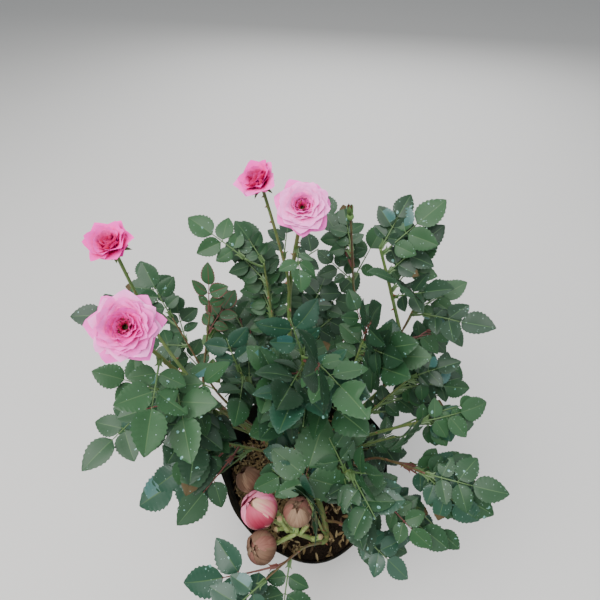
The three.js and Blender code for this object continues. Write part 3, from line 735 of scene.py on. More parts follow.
@dataclass(frozen=True)
class Folds:
    """The film's short slanting folds, in millimetres. A pair holds the least and the most."""

    count: int = 64
    level: Pair = (8, 142)
    length: Pair = (14, 46)
    width: Pair = (1.3, 2.6)
    strength: Pair = (0.35, 1)
    slant: float = 1.4
    slant_wander: float = 0.25
    bow: float = 0.006
    taper: float = 1.6
    seed: int = 61

    def depth(self, turn: Array, height: Array, radius: float) -> Array:
        """Adds up how strongly the folds push the film in.

        Args:
            turn: Angles round the bag, in radians.
            height: Heights on it.
            radius: What makes lengths of the angles.

        Returns:
            The strength at each place.
        """
        dice = Dice(self.seed)
        depth = np.zeros(np.broadcast(turn, height).shape)
        for _ in range(self.count):
            toward, level = FULL_TURN * dice.roll(), mix(*self.level, dice.roll())
            slant = dice.spread(1) ** 3 * self.slant + dice.spread(self.slant_wander)
            length, width = mix(*self.length, dice.roll()), mix(*self.width, dice.roll())
            strength = mix(*self.strength, dice.roll())
            round_way = ((turn - toward + math.pi) % FULL_TURN - math.pi) * radius
            up_way = height - level
            along = round_way * math.cos(slant) + up_way * math.sin(slant)
            off = up_way * math.cos(slant) - round_way * math.sin(slant) - self.bow * along**2
            depth += strength * np.exp(-((off / width) ** 2) - (along / length * self.taper) ** 4)
        return depth


@dataclass(frozen=True)
class NurseryBag:
    """The soft film bag: its sizes in millimetres, its creases and its drain holes."""

    height: float = 150
    mouth_radius: float = 84
    foot_radius: float = 54
    fold_radius: float = 67.5
    film: float = 0.5
    foot_bevel: float = 3
    bevel_knee: float = 0.9
    corners: Wave = Wave(3, 0.045, -80)
    ripples: Wave = Wave(7, 0.012, 20)
    folds: Folds = Folds()
    crease_depth: float = 3.0
    crease_share: float = 0.75
    smooth_foot: float = 12
    slack_from: float = 112
    rim_wave: float = 1.98
    wavy_from: float = 132
    rim_foot: float = 148.6
    rim_round: float = 0.15
    sides: int = 168
    side: Pair = (6, 145)
    side_rows: int = 62
    inside_foot: float = 108
    inside_rows: int = 16
    drain_radius: float = 3.0
    drain_height: float = 22.0
    drains: int = 6
    drain_zone: Pair = (0.55, 1.45)
    drain_pull: float = 0.85
    drain_cut: float = 0.92

    def radius(self, turn: Array, height: Amount) -> Array:
        """Works out the bag's outer radius.

        Args:
            turn: The angle, in radians.
            height: The height.

        Returns:
            The radius.
        """
        up = np.maximum(0.0, height) / self.height
        plain = mix(self.foot_radius, self.mouth_radius, up)
        return plain * (1 + up**1.5 * (self.corners.at(turn) + self.ripples.at(turn)))

    def creases(self, turn: Array, height: Array) -> Array:
        """Works out how deep the film is pushed in, by folds, dents and a slack rim.

        Args:
            turn: The angle, in radians.
            height: The height.

        Returns:
            The depth.
        """
        depth = self.folds.depth(turn, height, self.fold_radius)
        dents = np.sin(2 * turn + height / 31 + 1) * np.sin(3 * turn - height / 24) + 0.3
        slack = 0.5 + 0.5 * np.sin(9 * turn + 2.4 * np.sin(2 * turn) + 1)
        near_rim = np.clip((height - self.slack_from) / (self.height - self.slack_from), 0, 1)
        depth += 0.55 * np.clip(dents, 0, 1) + 0.55 * slack * near_rim
        return self.crease_depth * np.clip(depth * self.crease_share, 0, 1)

    def rim(self, turn: Array) -> Array:
        """Returns how far the rim's edge rises or dips at an angle."""
        fine = 0.5 * np.cos(5 * turn + 0.4) + 0.35 * np.cos(11 * turn + 2)
        return self.rim_wave * np.cos(2 * turn + 1) + fine

    def rows(self) -> list[tuple[float, float, bool]]:
        """Lists the rows of points up the outside and down the inside.

        Returns:
            Height, inset and whether the row is on the rim, for each row.
        """
        (low, high), knee, film = self.side, self.bevel_knee, self.film
        return [
            (0.0, self.foot_bevel, False), (knee, knee, False), (self.foot_bevel, 0.0, False),
            *((level, 0.0, False) for level in np.linspace(low, high, self.side_rows)),
            (self.rim_foot, 0.0, False), (self.height, 0.0, True),
            (self.height + self.rim_round, film / 2, True), (self.height, film, True),
            (self.rim_foot, film, False),
            *((level, film, False) for level in np.linspace(high, self.inside_foot, self.inside_rows)),
        ]

    def build(self) -> None:
        """Makes the creased film with its drain holes and its flat underside."""
        turn = circle(self.sides)
        points = [np.zeros((1, 3))]
        for height, inset, on_rim in self.rows():
            wavy = np.clip((height - self.wavy_from) / (self.height - self.wavy_from), 0, 1)
            level = np.full(self.sides, height)
            lift = self.rim(turn) * (1.0 if on_rim else wavy)
            reach = self.radius(turn, level) - inset
            reach -= self.creases(turn, level) * min(1.0, height / self.smooth_foot)
            points.append(round_axis(turn, reach, level + lift))
        form = Form()
        faces = (grid(len(points) - 1, self.sides, closed=True) + 1).tolist()
        form.add(np.concatenate(points), faces + fan(0, 1, self.sides), FILM)
        self.open_drains(form.piece("bag_film", "bag_film", "bag").data)

    def open_drains(self, mesh: Mesh) -> None:
        """Draws the film to the edges of the drain holes and takes out what lies inside.

        Args:
            mesh: The film.
        """
        points = np.array([vertex.co for vertex in mesh.vertices]) / MM
        holes = []
        for toward in (np.arange(self.drains) + 0.5) * 360 / self.drains:
            reach = self.radius(np.array(toward * DEGREE), self.drain_height)
            holes.append(place_of(toward, reach, self.drain_height))
        for middle in holes:
            away = points - middle
            far = norm(away, axis=1)
            low, high = (self.drain_radius * share for share in self.drain_zone)
            near = (far < high) & (far > low)
            edge = middle + away * (self.drain_radius / np.maximum(far, 1e-6))[:, None]
            points[near] = mix(points[near], edge[near], self.drain_pull)
        mesh.vertices.foreach_set("co", (points * MM).ravel())
        centres = np.array([np.mean(points[list(face.vertices)], axis=0) for face in mesh.polygons])
        gone = np.zeros(len(centres), bool)
        for middle in holes:
            gone |= norm(centres - middle, axis=1) < self.drain_radius * self.drain_cut
        remove_faces(mesh, gone)


def remove_faces(mesh: Mesh, gone: Array) -> None:
    """Takes faces out of a mesh.

    Args:
        mesh: The mesh.
        gone: Whether each face goes.
    """
    copy = bmesh.new()
    copy.from_mesh(mesh)
    doomed = [face for face, out in zip(copy.faces, gone) if out]
    bmesh.ops.delete(copy, geom=doomed, context="FACES")
    copy.to_mesh(mesh)
    copy.free()


@dataclass(frozen=True)
class PottingMix:
    """The potting mix inside the bag, crumbly on top, and the husks that lie on it, in millimetres."""

    bag: NurseryBag
    level: float = 122
    edge_drop: float = 3
    settled: float = 0.4
    gap: float = 0.25
    rings: int = 34
    heart: float = 0.02
    sides: int = 150
    lumps: float = 0.9
    foot: float = 3.6
    middle: float = 60.0
    wall: float = 2
    shoulder: float = 4
    husky: tuple[int, int] = (38, 102)
    # Husks are thinned here partly because that is how they lie, and partly to leave dark mix as painted
    # shade at the bag's front.
    sparse_and_shade_share: float = 0.22
    husk_length: float = 7.6
    husk_width: float = 2.6
    husk_bend: float = 1.35
    husk_density: Triple = (62000, 30000, 26000)
    husk_seed: int = 11

    def inside(self, turn: Array, height: float) -> Array:
        """Returns how far the mix reaches at a height, just inside the creased film."""
        level = np.full(len(turn), height)
        return self.bag.radius(turn, level) - self.bag.creases(turn, level) - self.bag.film - self.gap

    def surface(self) -> Array:
        """Works out the rings of points across the top, from the rim inward.

        Returns:
            The points by ring and side.
        """
        turn = circle(self.sides)
        share = np.linspace(1.0, self.heart, self.rings)[:, None]
        reach = self.inside(turn, self.level - self.edge_drop) * share
        x, y = reach * np.cos(turn), reach * np.sin(turn)
        lumps = np.sin(x / 5.1 + 1.3 * np.sin(y / 7)) * np.sin(y / 4.3 + 1.1 * np.sin(x / 9))
        lumps += 0.6 * np.sin(x / 2.3 + y / 3.1) * np.cos(y / 2.7 - x / 4.4)
        off_stem = np.clip(np.hypot(x, y) / 16 - 0.6, 0, 1)
        height = self.level - self.edge_drop * share**2 - self.settled
        return np.stack([x, y, height + self.lumps * (lumps - 0.3) * off_stem], -1)

    def build(self) -> None:
        """Makes the mix and its husks."""
        top, turn = self.surface(), circle(self.sides)
        rim = self.level - self.edge_drop - self.wall
        deep = self.bag.crease_depth + self.wall
        rows = []
        for height in (self.foot, self.foot + 1, self.middle, rim - self.shoulder):
            inset = deep + 1 if height == self.foot else deep
            rows.append(round_axis(turn, self.bag.radius(turn, height) - inset, height))
        rows += [round_axis(turn, self.inside(turn, rim), rim), *top]
        points = np.concatenate([[[0, 0, self.foot]], *rows, [[0, 0, self.level - 0.5]]])
        faces = (grid(len(rows), self.sides, closed=True) + 1).tolist() + fan(0, 1, self.sides)
        last = len(rows) * self.sides + 1
        faces += [face[::-1] for face in fan(last, last - self.sides, self.sides)]
        form = Form()
        form.add(points, faces, MIX)
        form.piece("potting_mix_top", "potting_mix", "potting_mix")
        self.husks(top)

    def husk(self) -> Object:
        """Makes one empty husk: a boat of thin shell.

        Returns:
            The husk, as a helper.
        """
        rows, columns = 7, 5
        share = np.linspace(0, 1, rows)[:, None]
        bend = np.linspace(-1, 1, columns)[None, :] * self.husk_bend
        half = self.husk_width / 2 * np.sin(math.pi * (0.04 + 0.92 * share)) ** 0.8
        x = (share - 0.5) * self.husk_length + 0 * bend
        y = half * np.sin(bend) / math.sin(self.husk_bend)
        z = half * (1 - np.cos(bend)) + 0.5 * (2 * share - 1) ** 2
        form = Form()
        form.add(np.stack([x, y, z], -1).reshape(-1, 3), grid(rows, columns), HUSKS[0])
        return form.helper("husk_shape")

    def husks(self, top: Array) -> None:
        """Scatters husks of three colours over the mix, thick on one side and thin on the rest. Thinning
        them there also leaves the dark mix bare as painted shade, where the bag's front lies in shade.

        Args:
            top: The rings of points across the top.
        """
        faces = grid(self.rings - 1, self.sides, closed=True)
        side = np.arange(len(faces)) % self.sides
        husky = (side >= self.husky[0]) & (side < self.husky[1])
        shape = self.husk()
        for where, chosen, share in (("thick", husky, 1.0), ("thin", ~husky, self.sparse_and_shade_share)):
            form = Form()
            form.add(top[1:].reshape(-1, 3), faces[chosen], MIX)
            ground = form.helper("husk_ground")
            for number, (finish, density) in enumerate(zip(HUSKS, self.husk_density)):
                husks = scattered(
                    f"{finish.name}_{where}", ground, finish, Shape=shape, Density=density * share,
                    Seed=self.husk_seed + number, Smallest=0.65, Largest=1.15, Tumble=0.45, Lift=0.8 * MM,
                )
                settle(husks, "potting_mix")
            bpy.data.objects.remove(ground)
        bpy.data.objects.remove(shape)


# The widest turn of a scattered copy on its spot, in radians
SPIN = 6.283


def scatter_tree() -> NodeTree:
    """Builds once the tree that scatters copies of a shape over a surface.

    Returns:
        The Geometry Nodes tree.
    """
    found = bpy.data.node_groups.get("Scatter over a surface")
    if found:
        return found
    tree = bpy.data.node_groups.new("Scatter over a surface", "GeometryNodeTree")
    nodes = Nodes(tree)
    nodes.open(
        "INPUT", Geometry=("Surface",), Object=("Shape",), Material=("Finish",), Int=("Seed",),
        Float=("Density", "Smallest", "Largest", "Tumble", "Lift"),
    )
    nodes.open("OUTPUT", Geometry=("Copies",))
    given = nodes.add("NodeGroupInput").outputs
    spots = nodes.add(
        "GeometryNodeDistributePointsOnFaces",
        {"Mesh": given["Surface"], "Density": given["Density"], "Seed": given["Seed"]},
    )
    offset = nodes.add("ShaderNodeVectorMath", {0: spots.outputs["Normal"]}, operation="SCALE")
    tree.links.new(given["Lift"], offset.inputs["Scale"])
    raised = {"Geometry": spots.outputs["Points"], "Offset": offset.outputs[0]}
    lifted = nodes.add("GeometryNodeSetPosition", raised)
    shape = nodes.add("GeometryNodeObjectInfo", {"Object": given["Shape"], "As Instance": True})
    sizes = {2: given["Smallest"], 3: given["Largest"], "Seed": given["Seed"]}
    size = nodes.add("FunctionNodeRandomValue", sizes, data_type="FLOAT")
    copies = nodes.add("GeometryNodeInstanceOnPoints", {
        "Points": lifted.outputs[0], "Instance": shape.outputs["Geometry"],
        "Rotation": spots.outputs["Rotation"], "Scale": size.outputs[1],
    })
    tip = nodes.add("ShaderNodeMath", {0: given["Tumble"], 1: -1.0}, operation="MULTIPLY")
    low = nodes.add("ShaderNodeCombineXYZ", {0: tip.outputs[0], 1: tip.outputs[0], 2: 0.0})
    high = nodes.add("ShaderNodeCombineXYZ", {0: given["Tumble"], 1: given["Tumble"], 2: SPIN})
    ways = {0: low.outputs[0], 1: high.outputs[0], "Seed": given["Seed"]}
    way = nodes.add("FunctionNodeRandomValue", ways, data_type="FLOAT_VECTOR")
    turns = {"Instances": copies.outputs[0], "Rotation": way.outputs[0]}
    spun = nodes.add("GeometryNodeRotateInstances", turns)
    real = nodes.add("GeometryNodeRealizeInstances", {0: spun.outputs[0]})
    finished = {"Geometry": real.outputs[0], "Material": given["Finish"]}
    dressed = nodes.add("GeometryNodeSetMaterial", finished)
    nodes.add("NodeGroupOutput", {"Copies": dressed.outputs[0]})
    return tree


def scattered(name: str, surface: Object, finish: Finish, **inputs: object) -> Object:
    """Scatters copies of a small shape over a surface by Geometry Nodes.

    Args:
        name: The new piece's name.
        surface: What they lie on.
        finish: Their finish.
        **inputs: The tree's other inputs by name.

    Returns:
        A plain mesh object with all the copies.
    """
    carrier = placed(name + "_carrier", surface.data)
    modifier = carrier.modifiers.new("scatter", "NODES")
    modifier.node_group = scatter_tree()
    inputs["Finish"] = finish.material()
    for item in modifier.node_group.interface.items_tree:
        if item.in_out == "INPUT" and item.name in inputs:
            modifier[item.identifier] = inputs[item.name]
    carrier.update_tag()
    bpy.context.view_layer.update()
    ready = carrier.evaluated_get(bpy.context.evaluated_depsgraph_get())
    mesh = bpy.data.meshes.new_from_object(ready)
    mesh.name = name
    carrier.modifiers.remove(modifier)
    bpy.data.objects.remove(carrier)
    return placed(name, mesh)


# How the bush grows: the source's rule, with more leaves at the end of each shoot's own


class Part(Enum):
    """Which joined piece of the crown a shoot's leaves belong to."""

    LEFT = "left"
    MIDDLE = "middle"
    RIGHT = "right"
    FRONT = "front"
    BACK = "back"


@dataclass(frozen=True)
class PetalPlan:
    """How a bloom's petals go from its heart to its outside.

    Each pair goes from the innermost petal to the outermost.
    """

    rings: tuple[int, ...]
    finishes: tuple[Finish, ...]
    length: Pair = (0.46, 0.98)
    foot_lean: Pair = (6, 64)
    tip_lean: Pair = (24, 112)
    width: Pair = (0.46, 0.42)
    point: Pair = (0.1, 1.0)
    cup: Pair = (0.95, 0.25)
    curl: Pair = (0.05, 0.5)
    ruffle: Pair = (0.09, 0.03)
    stamens: int = 0


@dataclass(frozen=True)
class Bloom:
    """A bloom on a shoot's tip: its radius, the way it faces, how far it opens and its petals."""

    radius: float
    facing: Triple
    open: float
    petals: PetalPlan


STAR = PetalPlan(
    (6, 9, 12, 12, 11, 8, 6), (HOT, ROSY, ROSY, PALE, PALE, BLUSH, PALE), width=(0.44, 0.56),
    ruffle=(0.1, 0.045), stamens=22,
)
FLAT = PetalPlan(
    (6, 8, 11, 10, 9, 7), (ROSY, PALE, BLUSH, BLUSH, BLUSH, PALE), tip_lean=(30, 118), width=(0.46, 0.54),
    point=(0.1, 0.7), ruffle=(0.09, 0.045), stamens=26,
)
HALF_OPEN = PetalPlan(
    (4, 5, 6, 5), (HOT, ROSY, ROSY, PALE), length=(0.9, 1.12), foot_lean=(2, 34), tip_lean=(6, 82),
    width=(0.42, 0.5), cup=(1.0, 0.5), curl=(0.02, 0.42),
)
SWIRL = PetalPlan(
    (4, 6, 7, 7, 6), (HOT, HOT, ROSY, ROSY, ROSY), length=(0.6, 1.02), foot_lean=(3, 52),
    tip_lean=(2, 98), width=(0.5, 0.54), cup=(1.1, 0.4), curl=(0.03, 0.5), ruffle=(0.07, 0.04),
)


@dataclass
class Leaflet:
    """One leaflet: its foot, the ways that it points and faces, and its length."""

    foot: Array
    along: Array
    face: Array
    length: float


@dataclass
class Leaf:
    """One compound leaf on its stalk."""

    root: Array
    along: Array
    face: Array
    scale: float
    leaflets: list[Leaflet]
    share: float
    start: Array
    red: float = 0.0
    green: Green = Green.DARK
    dice: Dice = field(default_factory=lambda: Dice(1))


@dataclass
class Shoot:
    """A leafy shoot, its cane and how its leaves are dealt, in millimetres and degrees."""

    name: str
    part: Part
    toward: float
    out: float
    height: float
    length: float
    lean: float
    heading: float
    source: str
    share: float
    girth: float
    leaves: int
    first: float
    last: float
    size: float
    turn: float
    leave: Pair = (0, 0)
    reach: float = 55
    crest: float | None = None
    bloom: Bloom | None = None
    tight_bud: bool = False
    heads: bool = False
    more: int = 6
    greens: tuple[Green, ...] = (Green.DARK, Green.DEEP, Green.MID)
    red: float = 0.15
    seed: int = 0
    stem: Bend | None = None
    cane: Bend | None = None
    grown: list[Leaf] = field(default_factory=list)
    taper: float = 0.72

    def tip(self) -> Array:
        """Returns the place of the stem's tip."""
        return place_of(self.toward, self.out, self.height)

    def cane_radius(self, share: float) -> float:
        """Returns the cane's radius at a share of its length."""
        return self.girth * mix(1, self.taper, share)


NEW_GREENS = (Green.FRESH, Green.YOUNG, Green.MID)
OLD_GREENS = (Green.DEEP, Green.DARK, Green.MID, Green.DARK, Green.BLUE)
# Greens that include the blue one, whose colour partly paints the sky's sheen.
GREENS_WITH_SHEEN = (Green.BLUE, Green.DARK, Green.MID, Green.DARK)


def shoots() -> list[Shoot]:
    """Lists the shoots, in the source's order.

    Returns:
        The shoots, each with its seed.
    """
    rows = [
        Shoot("left_low_bloom", Part.LEFT, -175, 109, 377, 72, 16, -148, "stem", 0, 2.4, 2, 0.05, 0.42,
              0.95, 150, (190, 58), bloom=Bloom(22.5, (0.3, -0.55, 0.78), 92, STAR), more=1),
        Shoot("left_high_bloom", Part.LEFT, 167, 120, 406, 66, 3, -143, "left_low_bloom", 0.84, 1.5, 1,
              0.05, 0.4, 0.75, 100, bloom=Bloom(17, (0, -0.32, 0.95), 72, SWIRL), more=0),
        Shoot("middle_bloom", Part.MIDDLE, 94, 64, 408, 68, 12, -57, "stem", 0, 2.4, 2, 0.05, 0.4, 0.92,
              200, (107, 60), bloom=Bloom(20, (0.02, -0.6, 0.8), 90, FLAT), more=1),
        Shoot("back_bloom", Part.BACK, 111, 87, 413, 64, 14, 150, "middle_bloom", 0.86, 1.5, 1, 0.05, 0.4,
              0.75, 60, bloom=Bloom(16, (-0.36, -0.3, 0.88), 48, HALF_OPEN), more=0),
        Shoot("slender_right", Part.RIGHT, 68, 74, 400, 96, 17, -116, "tall_right", 0.62, 1.3, 3, 0.02,
              0.5, 0.72, 120, tight_bud=True, more=3, greens=(Green.MID, Green.DARK), red=0.3),
        Shoot("tall_right", Part.RIGHT, 55, 94, 362, 105, 19, 158, "stem", 0, 2.4, 5, 0.02, 1, 0.88, 10,
              (40, 52), crest=35, more=6, greens=(Green.DARK, Green.MID, Green.DEEP)),
        Shoot("right_upper", Part.RIGHT, 38, 112, 300, 70, 18, 40, "tall_right", 0.66, 1.5, 4, 0.03, 1,
              0.9, 350, more=6),
        Shoot("red_left", Part.LEFT, 141, 104, 302, 68, 22, 60, "left_low_bloom", 0.58, 1.4, 4, 0.03, 1,
              0.8, 80, more=1, greens=NEW_GREENS, red=0.9),
        Shoot("far_left", Part.LEFT, 148, 138, 286, 66, 32, 135, "left_low", 0.72, 1.4, 3, 0.05, 1, 0.88,
              170, more=2, greens=(Green.MID, Green.DARK)),
        Shoot("left_low", Part.LEFT, 173, 120, 262, 84, 42, -175, "stem", 0, 2.2, 4, 0.02, 1, 0.98, 190,
              (160, 30), more=6, greens=GREENS_WITH_SHEEN),
        Shoot("left_middle", Part.LEFT, 180, 90, 298, 62, 18, -176, "left_low_bloom", 0.36, 1.5, 5, 0.03,
              1, 0.92, 30, more=7),
        Shoot("left_front", Part.LEFT, -172, 80, 224, 66, 47, -170, "stem", 0, 1.8, 4, 0.05, 1, 1.05, 220,
              (226, 34), more=7, greens=GREENS_WITH_SHEEN),
        Shoot("middle_left", Part.MIDDLE, 158, 58, 280, 92, 20, 165, "middle", 0.4, 1.6, 6, 0.02, 1, 1.05,
              180, reach=60, more=11, greens=OLD_GREENS),
        Shoot("middle_back", Part.BACK, 113, 88, 344, 84, 8, 120, "back", 0.4, 1.6, 5, 0.03, 1, 0.86, 100,
              more=6, greens=(Green.MID, Green.DARK)),
        Shoot("middle", Part.MIDDLE, 100, 22, 304, 112, 7, 95, "stem", 0, 2.3, 7, 0.02, 1, 1.12, 260,
              (-80, 80), reach=66, more=18, greens=OLD_GREENS),
        Shoot("middle_right", Part.MIDDLE, 42, 62, 304, 104, 19, 50, "tall_right", 0.3, 1.6, 6, 0.02, 1,
              1.05, 330, reach=60, more=14, greens=OLD_GREENS),
        Shoot("right_back", Part.RIGHT, 17, 90, 264, 66, 34, 16, "right", 0.55, 1.5, 5, 0.03, 1, 1, 20,
              more=12),
        Shoot("right", Part.RIGHT, -6, 90, 256, 66, 40, -14, "stem", 0, 2.2, 6, 0.03, 1, 0.95, 0, (5, 42),
              more=18, greens=GREENS_WITH_SHEEN),
        Shoot("far_right", Part.FRONT, -27, 100, 244, 44, 50, -42, "right_front", 0.75, 1.4, 3, 0.05, 1,
              1.0, 330, crest=-12, more=8, greens=GREENS_WITH_SHEEN, red=0.3),
        Shoot("right_front", Part.FRONT, -42, 84, 214, 56, 53, -50, "stem", 0, 1.9, 5, 0.03, 1, 0.92, 300,
              (-35, 38), more=6, greens=GREENS_WITH_SHEEN, red=0.3),
        Shoot("front_right", Part.FRONT, -16, 72, 252, 74, 28, -30, "right", 0.4, 1.5, 6, 0.03, 1, 1.08,
              290, reach=60, more=17, greens=OLD_GREENS),
        Shoot("centre_front", Part.FRONT, -50, 52, 236, 60, 22, -30, "pruned_front", 0.36, 1.5, 6, 0.05,
              1, 1.08, 45, reach=66, more=24, greens=OLD_GREENS),
        Shoot("middle_front", Part.FRONT, -95, 50, 228, 60, 20, 140, "pruned_front", 0.72, 1.6, 6, 0.3, 1,
              1.12, 270, reach=62, crest=80, more=16, greens=OLD_GREENS),
        Shoot("front", Part.FRONT, -60, 84, 190, 33, 39, -44, "pruned_front", 0.55, 1.5, 3, 0.05, 1, 0.88,
              300, more=0, greens=GREENS_WITH_SHEEN, red=0.3),
        Shoot("front_left", Part.FRONT, -106, 112, 206, 44, 52, -135, "pruned_front", 0.9, 1.4, 2, 0.3, 1,
              1.05, 250, crest=-128, more=1, greens=GREENS_WITH_SHEEN, red=0.5),
        Shoot("pruned_front", Part.FRONT, -108, 69, 174, 35, 63, 169, "stem", 0, 3, 0, 0, 1, 1, 0,
              (-83, 30), reach=48, heads=True, more=0),
        Shoot("back", Part.BACK, 88, 96, 262, 80, 30, 84, "stem", 0, 2.1, 5, 0.02, 1, 1.05, 90, (75, 42),
              more=8),
        Shoot("back_left", Part.BACK, 124, 98, 244, 74, 40, 128, "stem", 0, 1.8, 4, 0.02, 1, 1, 120,
              (142, 46), more=8),
    ]
    for seed, shoot in enumerate(rows, start=1):
        shoot.seed = seed
    return rows


@dataclass(frozen=True)
class Head:
    """A fat bud or a spent head: its place, as for a shoot's tip, and its radius."""

    toward: float
    out: float
    height: float
    radius: float

    def centre(self) -> Array:
        """Returns the head's middle."""
        return place_of(self.toward, self.out, self.height)


HEADS = (
    Head(-127, 67, 184, 15.5), Head(-98, 58, 190, 11.5), Head(-114, 90, 184, 12),
    Head(-154, 58, 175, 11.5),
)


@dataclass(frozen=True)
class LeafRule:
    """The measures of a compound leaf and of how it looks for room, as the source has them."""

    leaflets: tuple[Triple, ...] = (
        (12, 19, 70), (12, 19, -70), (24, 24.5, 62), (24, 24.5, -62), (33, 29.5, 0),
    )
    reach: float = 33
    width: float = 0.76
    widest: float = 0.44
    stalk_radius: float = 0.8
    fewest: int = 3
    turn_step: float = GOLDEN_TURN
    rise: tuple[float, float, float, float] = (24, 46, 72, 10)
    turn_wander: float = 16
    crest_rise: float = 30
    droop: Pair = (0.08, 0.1)
    size: Triple = (1.02, 0.88, 0.12)
    flatten: float = 0.55
    face_wander: Pair = (0.3, 0.15)
    length_wander: float = 0.08
    nod: float = 10
    tilt: float = 14
    tries: int = 24
    try_turn: float = 47
    per_size: int = 8
    shrink: float = 0.86
    limb_gap: float = 1
    cell_gap: float = 0.4
    flower_gap: float = 2
    leaf_gap: float = 1.8
    widest_bag: float = 84 * 1.057 + 3
    over_rim: float = 154
    light: Triple = (0.05, -0.5, 0.86)
    twig: float = 0
    twig_turn: float = 40
    twig_rise: float = 0.8
    box_gap: float = -1
    golden_share: float = 0.618034
    lowest: float = 0.02
    stalk_spots: Triple = (0.4, 0.7, 1)
    near_tip: float = 0.75


RULE = LeafRule()
FINER = replace(
    RULE, cell_gap=-0.35, leaf_gap=0.3, size=(1.12, 0.98, 0.12), flower_gap=1, over_rim=150, twig=38,
    box_gap=1.5, per_size=12,
)


@dataclass(frozen=True)
class Clearing:
    """A line of sight that the leaves leave open, from a place on the bush toward the front and above."""

    place: Triple
    radius: float
    toward: Triple = (-6.0, -169.0, 578.0)

    def hides(self, points: Array) -> bool:
        """Tells whether a thing is in the way.

        Args:
            points: Points of the thing.

        Returns:
            True where one of them lies in the open space.
        """
        way = unit(np.array(self.toward) - np.array(self.place))
        away = points - np.array(self.place)
        far = away @ way
        off = norm(away - np.outer(far, way), axis=1)
        return bool(((far > 0) & (off < self.radius)).any())


@dataclass(frozen=True)
class ShownLeaf:
    """The large leaf that the photograph shows before the pot, on the tip of a shoot.

    Each leaflet has its way along the stalk and its length in millimetres, and its turn in degrees.
    """

    shoot: str = "middle_front"
    toward: Triple = (0.345, 0.7, 0.63)
    scale: float = 0.36
    leaflets: tuple[Triple, ...] = (
        (11.5, 45, 0), (8, 39, -88), (8, 34, 70), (3, 21, 128),
    )


SHOWN_LEAF = ShownLeaf()
CLEARINGS = tuple(
    Clearing(place, radius)
    for place, radius in (
        *((tuple(head.centre()), head.radius * 0.85) for head in HEADS[:3]),
        ((-58, -26, 175), 8), ((-68, 4, 122), 12), ((-63, -52, 146), 10), ((-10, -70, 174), 10),
        ((20, -72, 150), 9), ((6, -32, 242), 13), ((18, -52, 232), 9), ((-16, -44, 236), 9),
    )
)


